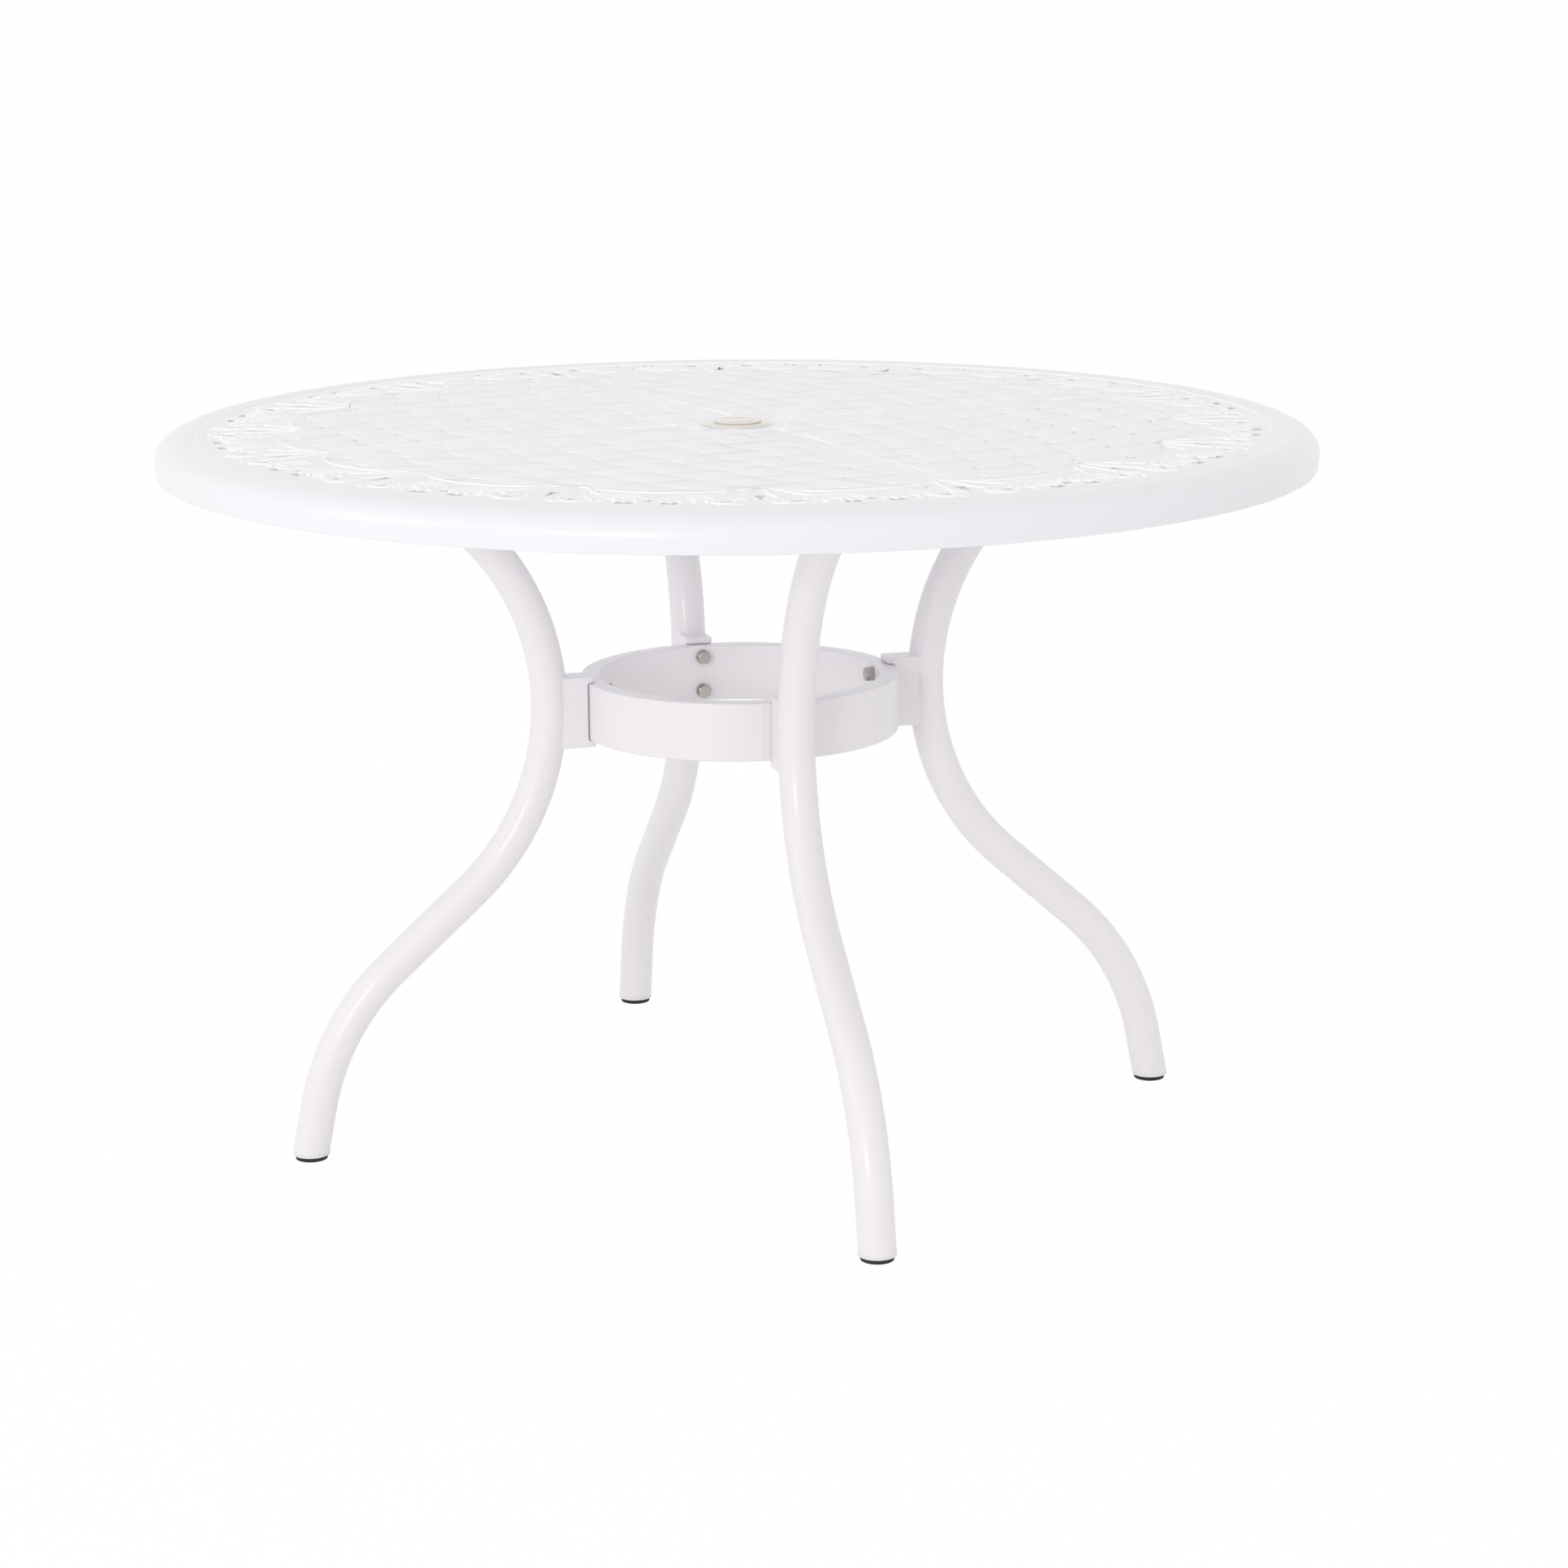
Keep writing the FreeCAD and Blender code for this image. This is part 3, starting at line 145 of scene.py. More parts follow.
# A surface with one fine pattern, which mixes its two colours and raises it
def makePatterned(name, values):
    material, tree = newMaterial(name)
    place = addNode(tree, "ShaderNodeTexCoord")
    pattern = addNode(tree, "ShaderNodeTexNoise",
                      {"Scale": 1 / (values["spacing"] * mm), "Detail": values["detail"]},
                      {"Vector": place.outputs["Object"]})
    tint = addNode(tree, "ShaderNodeMix",
                   {"data_type": "RGBA", 6: srgb(values["colour"]), 7: srgb(values["shade"])},
                   {0: pattern.outputs["Fac"]})
    bump = addNode(tree, "ShaderNodeBump", {"Strength": 1.0, "Distance": values["depth"] * mm},
                   {"Height": pattern.outputs["Fac"]})
    shader = addNode(tree, "ShaderNodeBsdfPrincipled", values["surface"],
                     {"Base Color": tint.outputs[2], "Normal": bump.outputs["Normal"]})
    addNode(tree, "ShaderNodeOutputMaterial", {}, {"Surface": shader.outputs["BSDF"]})
    return material


# Stainless steel of the bolts and washers: turned and rolled, so it shines softly with fine streaks
stainless = {
    "colour": "CBC9C5",
    "shade": "A3A09B",
    "spacing": 0.5,
    "depth": 0.008,
    "detail": 3.0,
    "surface": {"Metallic": 1.0, "Roughness": 0.28},
}

# Moulded polyethylene, matt with a fine grain: near-black for the glides, white for the tube inserts
glidePlastic = {
    "colour": "0D0D0E",
    "shade": "1C1C1E",
    "spacing": 0.8,
    "depth": 0.03,
    "detail": 2.0,
    "surface": {"Roughness": 0.5},
}
insertPlastic = dict(glidePlastic, colour="EDEBEC", shade="E4E1E3", depth=0.02)

# Natural polypropylene of the umbrella ring and cap: milky and faintly warm, with slow waves from the
# mould, and only a little light passes through
clearPlastic = {
    "colour": "F5F1ED",
    "shade": "ECE4DC",
    "spacing": 14,
    "depth": 0.1,
    "detail": 1.0,
    "surface": {"Roughness": 0.2, "Transmission Weight": 0.15, "IOR": 1.49},
}

# The castings' coat is more matt than the rim's, and its colour is a shade lighter as painted light,
# which lifts the tops that the lamps only graze. Its relief's sides are painted white as a painted
# highlight, and the walls inside the openings, between two heights, are painted greyer as painted shade.
reliefCoat = dict(
    # The colour is a shade lighter than the rim's as painted light, for the tops that the lamps only
    # graze
    powderCoat, colour="F3F3F6", shade="F0F0F4", edge="FFFFFF", roughness=0.45, specular=0.15, coat=0.25,
    # A greyer colour is painted on the walls inside the openings as painted shade
    coatRoughness=0.08, peelDepth=0.03, paintedWallShade="DEDEE0", paintedShadeLow=753.5, paintedShadeHigh=759.7)
rimCoat = dict(powderCoat, peelSpacing=3.2, peelDepth=0.2)     # the peel shows most on the broad round
tubeCoat = dict(powderCoat, colour="EEEAED", shade="EAE6E9", edge="EEEAED", roughness=0.35, coat=0.15)

castWhite = makePowderCoat("whitePowderCoatOnCasting", reliefCoat)
rimWhite = makePowderCoat("whitePowderCoatOnRim", rimCoat)
tubeWhite = makePowderCoat("whitePowderCoatOnTube", tubeCoat)
steel = makePatterned("stainlessSteel", stainless)
blackPlastic = makePatterned("blackPolyethylene", glidePlastic)
whitePlastic = makePatterned("whitePolyethylene", insertPlastic)
milkyPlastic = makePatterned("naturalPolypropylene", clearPlastic)
print("materials made")


def faceOutwards(bm):
    bmesh.ops.recalc_face_normals(bm, faces=bm.faces)


def closeEnds(bm):
    bmesh.ops.holes_fill(bm, edges=[edge for edge in bm.edges if edge.is_boundary], sides=0)


def sharpenEdges(bm, degrees):
    limit = math.radians(degrees)
    for face in bm.faces:
        face.smooth = True
    for edge in bm.edges:
        edge.smooth = len(edge.link_faces) == 2 and edge.calc_face_angle(0) < limit


def addObject(name, bm):
    mesh = bpy.data.meshes.new(name)
    bm.to_mesh(mesh)
    bm.free()
    thing = bpy.data.objects.new(name, mesh)
    bpy.context.collection.objects.link(thing)
    return thing


def makePiece(name, bm, material, body="table", nodes=(), sharpAngle=35):
    sharpenEdges(bm, sharpAngle)
    piece = addObject(name, bm)
    piece.data.materials.append(material)
    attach(piece, body)
    if nodes:
        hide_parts(*nodes)


def joinInto(bm, others):
    for other in others:
        spare = bpy.data.meshes.new("spare")
        other.to_mesh(spare)
        other.free()
        bm.from_mesh(spare)
        bpy.data.meshes.remove(spare)
    return bm


def turnedAbout(degrees):
    return Matrix.Rotation(math.radians(degrees), 4, "Z")


def movedCopy(bm, matrix):
    copy = bm.copy()
    copy.transform(matrix)
    return copy


def numbered(name, k):
    return "%s_%d" % (name, k + 1)


# A profile of (radius, height), turned round the upright axis
def spinProfile(points, steps, sweep=360):
    bm = bmesh.new()
    verts = [bm.verts.new((r, 0, z)) for r, z in points]
    edges = [bm.edges.new(pair) for pair in zip(verts, verts[1:] + verts[:1])]
    bmesh.ops.spin(bm, geom=verts + edges, axis=(0, 0, 1), cent=(0, 0, 0), angle=math.radians(sweep),
                   steps=steps, use_merge=sweep == 360)
    bmesh.ops.remove_doubles(bm, verts=bm.verts, dist=joinReach)
    closeEnds(bm)
    faceOutwards(bm)
    return bm


# A closed section carried through its stations, each a matrix that places it
def sweepSection(bm, section, stations):
    verts = [bm.verts.new(stations[0] @ Vector((x, y, 0))) for x, y in section]
    edges = [bm.edges.new(pair) for pair in zip(verts, verts[1:] + verts[:1])]
    for before, after in zip(stations, stations[1:]):
        grown = bmesh.ops.extrude_edge_only(bm, edges=edges)["geom"]
        verts = {item for item in grown if isinstance(item, bmesh.types.BMVert)}
        edges = [item for item in grown if isinstance(item, bmesh.types.BMEdge)
                 and item.verts[0] in verts and item.verts[1] in verts]
        bmesh.ops.transform(bm, matrix=after @ before.inverted(), verts=list(verts))


def polar(radius, degrees):
    angle = math.radians(degrees)
    return Vector((radius * math.cos(angle), radius * math.sin(angle), 0))


def circleSection(radius, sides):
    return [polar(radius, 360 * i / sides)[:2] for i in range(sides)]


longestReach = 0.49          # share of an outline's side that a rounding may take


# An outline from corners of (x, y, rounding radius), each rounding drawn with a few chords
def roundedOutline(corners, chords=3):
    outline = []
    for i, (x, y, radius) in enumerate(corners):
        here = Vector((x, y))
        before = Vector(corners[i - 1][:2]) - here
        after = Vector(corners[(i + 1) % len(corners)][:2]) - here
        if radius == 0:
            outline.append((x, y))
            continue
        half = before.angle(after) / 2
        reach = min(radius / math.tan(half), longestReach * min(before.length, after.length))
        start, end = here + before.normalized() * reach, here + after.normalized() * reach
        for k in range(chords + 1):
            t = k / chords
            point = (1 - t) ** 2 * start + 2 * t * (1 - t) * here + t * t * end
            outline.append((point.x, point.y))
    return outline


# Rolled rim: raised bead inside, crown that rounds over to the widest line, and a skirt that leans in
rimSizes = {
    "innerRadius": 560.0,
    "beadWidth": 3.6,
    "valleyStart": 5.0,
    "valleyEnd": 7.0,
    "beadTop": 761.5,
    "valleyTop": 760.9,
    "crownTop": 762.0,
    "outerRadius": 606.25,
    "widestHeight": 738.0,
    "roundReach": 33.0,
    "skirtRadius": 604.4,
    "skirtBottom": 722.5,
    "wall": 4.0,
    "floorHeight": 754.0,
    "chords": 16,
    "steps": 256,
    "seamReach": 1.0,        # how far the coat that bridges the gap to the castings goes to each side
    "seamTop": 760.95,
    "seamLow": 759.9,
}


# Quarter of an ellipse in the profile, from its top to its widest point
def quarterRound(middle, low, reach, rise, chords):
    angles = [math.pi / 2 * (1 - k / chords) for k in range(chords + 1)]
    return [(middle + reach * math.cos(angle), low + rise * math.sin(angle), 0) for angle in angles]


def makeRim():
    s = rimSizes
    inner, wall, top = s["innerRadius"], s["wall"], s["crownTop"]
    crownEnd, rise = s["outerRadius"] - s["roundReach"], top - s["widestHeight"]
    outside = quarterRound(crownEnd, s["widestHeight"], s["roundReach"], rise, s["chords"])
    inside = quarterRound(crownEnd, s["widestHeight"], s["roundReach"] - wall, rise - wall, s["chords"])
    corners = [
        (inner, s["floorHeight"], 0.5), (inner, s["beadTop"], 1.4),
        (inner + s["beadWidth"], s["beadTop"], 1.4), (inner + s["valleyStart"], s["valleyTop"], 1.5),
        (inner + s["valleyEnd"], s["valleyTop"], 2), *outside,
        (s["skirtRadius"], s["skirtBottom"], 1.5), (s["skirtRadius"] - wall, s["skirtBottom"], 1.2),
        *reversed(inside), (inner + wall, top - wall, 1), (inner + wall, s["floorHeight"], 0.5)]
    bm = spinProfile(roundedOutline(corners, chords=6), s["steps"])
    bm.transform(toMetres)
    makePiece("rolledRim", bm, rimWhite, nodes=["top_rim"], sharpAngle=50)
    left, right = inner - s["seamReach"], inner + s["seamReach"]
    seam = spinProfile([(left, s["seamLow"]), (left, s["seamTop"]), (right, s["seamTop"]),
                        (right, s["seamLow"])], s["steps"])
    seam.transform(toMetres)
    makePiece("rimPaintSeam", seam, rimWhite)


makeRim()
print("rim made")


# The quarter castings: pierced plate, woven pads, ribs, rail and scroll band
topSizes = {
    "ribAzimuth": 54.0,
    "plateTop": 757.95,
    "groundTop": 759.9,
    "reliefRoot": 757.5,
    "weaveTop": 761.2,
    "ribTop": 760.6,
    "ribHalfWidth": 16.0,
    "ribLap": 0.1,
    "ribEdge": 0.3,
    "splitHalf": 0.1,
    "hubRadius": 52.3,
    "collarWidth": 6.0,
    "collarChords": 16,
    "outerRadius": 559.7,
    "borderWidth": 4.0,
    "borderChords": 40,
    "lineRound": 1.2,        # edge of collar and border
}
weaveSizes = {
    "rows": 9,
    "first": 74.0,
    "pitch": 54.0,
    "gap": 9.0,
    "bowRadius": 735.0,
    "bowPeak": 110.0,
    "bowSteps": 12,
    "holeWiden": 2.2,
    "edgeRound": 0.8,
    "crown": 0.1,
    "shortest": 0.02,        # edges shorter than this are taken out
    # height of a pad, as a share, at shares of the way from its middle to its end
    "endShape": ((0.0, 1.0), (0.5, 1.0), (0.93, 1.0), (0.97, 0.8), (1.0, 0.35)),
}
railSizes = {
    "lobes": 16,
    "cuspRadius": 445.0,
    "lobeRise": 29.0,
    "width": 7.0,
    "edgeRound": 1.4,
    "chords": 10,
}


# Place of a point of the weave once both its families of lines are bowed
def bowed(across, along):
    x, y = across, along
    for i in range(weaveSizes["bowSteps"]):
        x, y = (across - (y - weaveSizes["bowPeak"]) ** 2 / (2 * weaveSizes["bowRadius"]),
                along - (x - weaveSizes["bowPeak"]) ** 2 / (2 * weaveSizes["bowRadius"]))
    return Vector((x, y, 0))


# Radius of the scalloped line at an angle: arcs that bulge outwards between the cusps
def lobeRadius(degrees, cusp, rise):
    step = 360 / railSizes["lobes"]
    half = math.radians(step / 2)
    sagitta = cusp * (1 - math.cos(half)) + rise
    bend = ((cusp * math.sin(half)) ** 2 + sagitta ** 2) / (2 * sagitta)
    centre = cusp + rise - bend
    offset = math.radians((degrees % step) - step / 2)
    return centre * math.cos(offset) + math.sqrt(bend ** 2 - (centre * math.sin(offset)) ** 2)


# A section's place: its first axis runs from the left point to the right one, its second stands up
def station(left, right, base, top):
    middle, half = (left + right) / 2, (right - left) / 2
    ahead = Vector((-half.y, half.x, 0)).normalized()
    columns = (Vector((half.x, half.y, 0)), Vector((0, 0, top - base)), -ahead)
    matrix = Matrix(columns).transposed().to_4x4()
    matrix.translation = (middle.x, middle.y, base)
    return matrix


# A strip's section in shares of its half width and height: upright sides, rounded edges, a low crown
def stripSection(halfWidth, height, edgeRound, crown=0.0, chords=2):
    x, y = edgeRound / halfWidth, edgeRound / height
    side = [(1, 0)]
    for k in range(chords + 1):
        angle = math.radians(90 * k / chords)
        side.append((1 - x * (1 - math.cos(angle)), 1 - y * (1 - math.sin(angle))))
    middle = [(0, 1 + crown / height)] if crown else []
    return side + middle + [(-a, b) for a, b in reversed(side)]


# A pad is the stretch of a strand that shows, and its ends dip to pass under the strands that cross it
def addPad(bm, across, along, alongFirst):
    halfWidth = (weaveSizes["pitch"] - weaveSizes["gap"]) / 2
    halfLength = halfWidth + weaveSizes["gap"]
    base, ground, top = topSizes["reliefRoot"], topSizes["groundTop"], topSizes["weaveTop"]
    section = stripSection(halfWidth, top - base, weaveSizes["edgeRound"], weaveSizes["crown"])
    shape = weaveSizes["endShape"]
    stations = []
    for t, rise in [(-t, rise) for t, rise in reversed(shape)] + list(shape[1:]):
        ends = []
        for side in (-halfWidth, halfWidth):
            u, v = (t * halfLength, side) if alongFirst else (-side, t * halfLength)
            ends.append(bowed(across + u, along + v))
        stations.append(station(ends[0], ends[1], base, ground + (top - ground) * rise))
    sweepSection(bm, section, stations)


# Pads that pass the scalloped rail are drawn back under it
def drawBack(bm):
    middle = railSizes["width"] / 2
    for vert in bm.verts:
        radius = math.hypot(vert.co.x, vert.co.y)
        degrees = math.degrees(math.atan2(vert.co.y, vert.co.x))
        limit = lobeRadius(degrees, railSizes["cuspRadius"] + middle, railSizes["lobeRise"])
        if radius > limit:
            vert.co.x *= limit / radius
            vert.co.y *= limit / radius


def cutAway(bm, place, normal):
    bmesh.ops.bisect_plane(bm, geom=bm.verts[:] + bm.edges[:] + bm.faces[:], dist=cutReach,
                           plane_co=place, plane_no=normal, clear_outer=True)
    closeEnds(bm)


# What lies beyond the two sides of the quarter, or closer to them than the margin, goes
def cutToQuarter(bm, margin):
    cutAway(bm, (margin, 0, 0), (-1, 0, 0))
    cutAway(bm, (0, margin, 0), (0, -1, 0))


def makeWeave():
    bm = bmesh.new()
    centres = [weaveSizes["first"] + weaveSizes["pitch"] * (i - 0.5) for i in range(weaveSizes["rows"])]
    half = weaveSizes["pitch"] / 2
    for i, across in enumerate(centres):
        for j, along in enumerate(centres):
            place = bowed(across, along)
            if place.x < -half or place.y < -half:
                continue
            nearest = Vector((max(place.x - half, 0), max(place.y - half, 0), 0))
            degrees = math.degrees(math.atan2(place.y, place.x))
            if nearest.length < lobeRadius(degrees, railSizes["cuspRadius"], railSizes["lobeRise"]):
                addPad(bm, across, along, (i + j) % 2 == 0)
    closeEnds(bm)
    cutToQuarter(bm, topSizes["ribHalfWidth"])
    drawBack(bm)
    bmesh.ops.dissolve_degenerate(bm, edges=bm.edges, dist=weaveSizes["shortest"])
    faceOutwards(bm)
    return bm


ridgeEnds = {"narrow": 0.6, "lowest": 0.55, "slope": 0.75}


# A ridge through points of (place, half width), rounded on top and sunk in the plate. Where it is
# narrow, as a share of its widest, it gets lower too.
def addRidge(bm, path, top, edgeRound, chords=3):
    widest = max(width for place, width in path)
    base = topSizes["reliefRoot"]
    section = stripSection(widest, top - base, min(edgeRound, widest), chords=chords)
    stations = []
    for i, (place, width) in enumerate(path):
        before = path[max(i - 1, 0)][0]
        after = path[min(i + 1, len(path) - 1)][0]
        ahead = (after - before).normalized()
        beside = Vector((ahead.y, -ahead.x, 0)) * width
        lift = 1
        if width <= ridgeEnds["narrow"] * widest:
            lift = min(ridgeEnds["lowest"] + ridgeEnds["slope"] * width / widest, 1)
        stations.append(station(place - beside, place + beside, base, base + (top - base) * lift))
    sweepSection(bm, section, stations)


def arcPath(radius, start, end, count, width):
    return [(polar(radius, start + (end - start) * i / count), width) for i in range(count + 1)]


# Scalloped rail, border at the rim and collar at the hub of one quarter
def makeFrameLines():
    bm = bmesh.new()
    s = topSizes
    step = 360 / railSizes["lobes"]
    half = railSizes["width"] / 2
    margin = math.degrees(s["splitHalf"] / railSizes["cuspRadius"])
    for i in range(railSizes["lobes"] // 4):
        path = []
        for k in range(railSizes["chords"] + 1):
            degrees = min(max(step * (i + k / railSizes["chords"]), margin), 90 - margin)
            radius = lobeRadius(degrees, railSizes["cuspRadius"] + half, railSizes["lobeRise"])
            path.append((polar(radius, degrees), half))
        addRidge(bm, path, s["weaveTop"], railSizes["edgeRound"], chords=2)
    border, collar = s["borderWidth"] / 2, s["collarWidth"] / 2
    borderLine = arcPath(s["outerRadius"] - border, margin, 90 - margin, s["borderChords"], border)
    margin = math.degrees(s["splitHalf"] / s["hubRadius"])
    collarLine = arcPath(s["hubRadius"] + collar, margin, 90 - margin, s["collarChords"], collar)
    for path in (borderLine, collarLine):
        addRidge(bm, path, s["weaveTop"], s["lineRound"], chords=2)
    closeEnds(bm)
    faceOutwards(bm)
    return bm


# Half of a rib along each side of the quarter
def makeRibs():
    bm = bmesh.new()
    s = topSizes
    inner, outer = s["hubRadius"], railSizes["cuspRadius"] + railSizes["width"] / 2
    low, high = s["reliefRoot"], s["ribTop"]
    size = Vector((outer - inner, s["ribHalfWidth"] - s["splitHalf"] + s["ribLap"], high - low))
    centre = Vector(((outer + inner) / 2, s["splitHalf"] + size.y / 2, (high + low) / 2))
    for mirrored in (False, True):
        for vert in bmesh.ops.create_cube(bm, size=1)["verts"]:
            x, y, z = (a * b + c for a, b, c in zip(vert.co, size, centre))
            vert.co = (y, x, z) if mirrored else (x, y, z)
    faceOutwards(bm)
    edges = [edge for edge in bm.edges if min(v.co.z for v in edge.verts) > high - near]
    bmesh.ops.bevel(bm, geom=edges, offset=s["ribEdge"], segments=2, profile=0.5, affect="EDGES",
                    material=-1)
    return bm


# Scroll band, mirrored about each cusp of the rail: a large volute, a small curl and two leaves.
# Angles of a ridge run from the side away from the cusp towards the rail.
scrollSizes = {
    "top": 761.4,
    "ridgeHalf": 3.6,
    "tipHalf": 2.2,
    "edgeRound": 2.6,
    "pitch": 8.3,
    "voluteRing": 529.0,
    "voluteAngle": 7.2,
    "voluteEye": 9.5,
    "voluteRidges": 4,
    "voluteStart": -50.0,
    "voluteStartStep": 20.0,
    "voluteSweep": 290.0,
    "voluteSweepStep": 60.0,
    "curlRing": 531.0,
    "curlAngle": 3.5,
    "curlEye": 12.5,
    "curlStart": 130.0,
    "curlSweep": 250.0,
    "curlOuterSweep": 120.0,
    "leafHalf": 4.0,
    "leafTipHalf": 1.5,
    "leafBend": 2.4,
    "leafChords": 5,
    "leafFull": 0.8,         # share of a leaf's length where its width stops changing
    "innerLeaf": (0.8, 2.1),
    "outerLeaf": (2.6, 5.3),
    "chord": 6.0,
    "fewestChords": 5,
}


# An arc about a centre, swelling from its tips to its middle
def addCurl(bm, centre, side, radius, start, sweep):
    s = scrollSizes
    facing = math.degrees(math.atan2(centre.y, centre.x))
    count = max(s["fewestChords"], round(radius * math.radians(sweep) / s["chord"]))
    path = []
    for i in range(count + 1):
        t = i / count
        swell = math.sin(math.pi * t) ** 0.5
        degrees = facing + side * (90 + start + sweep * t)
        width = s["tipHalf"] + (s["ridgeHalf"] - s["tipHalf"]) * swell
        path.append((centre + polar(radius, degrees), width))
    addRidge(bm, path, s["top"], s["edgeRound"])


# A leaf bends from its thin tip at the rail to its joint at a volute or a curl
def addLeaf(bm, tip, joint, side):
    s = scrollSizes
    run = joint - tip
    beside = Vector((-run.y, run.x, 0)).normalized() * side * s["leafBend"]
    path = []
    for i in range(s["leafChords"] + 1):
        t = i / s["leafChords"]
        swell = math.sin(math.pi * min(t, s["leafFull"]))
        width = s["leafTipHalf"] + (s["leafHalf"] - s["leafTipHalf"]) * swell
        path.append((tip + run * t - beside * math.sin(math.pi * t), width))
    addRidge(bm, path, s["top"], s["edgeRound"])


def makeScrolls():
    s = scrollSizes
    bm = bmesh.new()
    step = 360 / railSizes["lobes"]
    rail = railSizes["cuspRadius"] + railSizes["width"]
    curlTop = s["curlRing"] - s["curlEye"] - s["ridgeHalf"]
    voluteReach = s["voluteEye"] + (s["voluteRidges"] - 1) * s["pitch"]
    voluteTop = s["voluteRing"] - voluteReach + s["ridgeHalf"]
    for i in range(railSizes["lobes"] // 4):
        for side, cusp in ((1, step * i), (-1, step * (i + 1))):
            volute = polar(s["voluteRing"], cusp + side * s["voluteAngle"])
            curl = polar(s["curlRing"], cusp + side * s["curlAngle"])
            for n in range(s["voluteRidges"]):
                addCurl(bm, volute, side, s["voluteEye"] + n * s["pitch"],
                        s["voluteStart"] + n * s["voluteStartStep"],
                        s["voluteSweep"] - n * s["voluteSweepStep"])
            addCurl(bm, curl, side, s["curlEye"], s["curlStart"], s["curlSweep"])
            addCurl(bm, curl, side, s["curlEye"] + s["pitch"], s["curlStart"], s["curlOuterSweep"])
            addLeaf(bm, polar(rail, cusp + side * s["innerLeaf"][0]),
                    polar(curlTop, cusp + side * s["innerLeaf"][1]), side)
            addLeaf(bm, polar(rail + railSizes["width"], cusp + side * s["outerLeaf"][0]),
                    polar(voluteTop, cusp + side * s["outerLeaf"][1]), side)
    closeEnds(bm)
    cutToQuarter(bm, topSizes["splitHalf"])
    faceOutwards(bm)
    return bm


def levelPlace(vert):
    return round(vert.co.x, 6), round(vert.co.y, 6)


# Openings at the crossings of the gaps reach a little way under the pads: each ring of edges round a
# small opening is found, and every point above or below it is moved outwards
def widenHoles(bm, rims):
    rimEdges = {edge for edge in rims if edge.is_valid}
    waiting = {vert for edge in rimEdges for vert in edge.verts}
    moves = {}
    while waiting:
        loop, front = set(), [waiting.pop()]
        while front:
            vert = front.pop()
            loop.add(vert)
            for edge in vert.link_edges:
                other = edge.other_vert(vert)
                if edge in rimEdges and other in waiting:
                    waiting.remove(other)
                    front.append(other)
        centre = sum((vert.co for vert in loop), Vector()) / len(loop)
        reach = max((vert.co - centre).length for vert in loop)
        inWeave = math.hypot(centre.x, centre.y) < railSizes["cuspRadius"] * mm
        if reach < weaveSizes["gap"] * mm and inWeave:
            for vert in loop:
                moves[levelPlace(vert)] = (vert.co - centre) * (weaveSizes["holeWiden"] - 1)
    for vert in bm.verts:
        shift = moves.get(levelPlace(vert))
        if shift:
            vert.co.x += shift.x
            vert.co.y += shift.y


# Plate and bosses come from the casting below the relief, cut level, closed again and raised to the
# ground that shows between the pads
def makePlate(node):
    bm = bmesh.new()
    bm.from_mesh(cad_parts[node].data)
    bmesh.ops.remove_doubles(bm, verts=bm.verts, dist=joinReach * mm)
    top = topSizes["plateTop"] * mm
    cut = bmesh.ops.bisect_plane(bm, geom=bm.verts[:] + bm.edges[:] + bm.faces[:], dist=cutReach * mm,
                                 plane_co=(0, 0, top), plane_no=(0, 0, 1), clear_outer=True)
    rims = [item for item in cut["geom_cut"] if isinstance(item, bmesh.types.BMEdge)]
    bmesh.ops.triangle_fill(bm, edges=rims, use_beauty=True, use_dissolve=False, normal=(0, 0, 1))
    widenHoles(bm, rims)
    for vert in bm.verts:
        if abs(vert.co.z - top) < joinReach * mm:
            vert.co.z = topSizes["groundTop"] * mm
    faceOutwards(bm)
    return bm


def makeCastings():
    weave = joinInto(makeWeave(), [makeRibs(), makeFrameLines()])
    scrolls = makeScrolls()
    for k in range(4):
        turn = toMetres @ turnedAbout(topSizes["ribAzimuth"] - 90 + 90 * k)
        node = numbered("top_casting", k)
        makePiece(numbered("castingPlate", k), makePlate(node), castWhite, nodes=[node])
        for name, bm, angle in (("basketWeave", weave, 50), ("scrollBand", scrolls, 60)):
            makePiece(numbered(name, k), movedCopy(bm, turn), castWhite,
                      sharpAngle=angle)
    weave.free()
    scrolls.free()


makeCastings()
print("castings made")


# Hub in the middle of the top, with the milky ring and cap that close the umbrella hole
hubSizes = {
    "holeRadius": 25.6,
    "radius": 51.9,
    "top": 760.9,
    "flangeLow": 752.9,
    "sleeveRadius": 31.6,
    "low": 725.9,
}
ringSizes = {
    "boreRadius": 20.3,
    "outerRadius": 25.35,
    "low": 732.9,
    "seat": 760.95,
    "flangeRadius": 38.0,
    "edgeTop": 762.1,
    "stepRadius": 33.5,
    "stepSlope": 1.2,
    "stepDrop": 0.3,
    "innerStepRadius": 29.0,
    "top": 763.3,
    "counterRadius": 22.0,
    "counterLow": 754.3,
}
capSizes = {
    "low": 763.35,
    "radius": 25.0,
    "discTop": 765.3,
    "knobRadius": 17.0,
    "knobFoot": 1.0,
    "knobTop": 766.1,
    "hollowStart": 2.5,
    "hollowEnd": 3.2,
    "hollow": 0.5,
    "skirtOuter": 21.8,
    "skirtInner": 19.0,
    "skirtLow": 754.6,
    "dimpleRadius": 4.0,
}


def makeRoundPiece(name, node, corners, material, body="table"):
    bm = spinProfile(roundedOutline(corners), roundSteps)
    bm.transform(toMetres)
    makePiece(name, bm, material, body, [node])


def makeHub():
    s = hubSizes
    makeRoundPiece("hubDisc", "hub", [
        (s["holeRadius"], s["low"], 0.5), (s["sleeveRadius"], s["low"], 1),
        (s["sleeveRadius"], s["flangeLow"], 2), (s["radius"], s["flangeLow"], 1),
        (s["radius"], s["top"], 1.5), (s["holeRadius"], s["top"], 0.5)], castWhite)


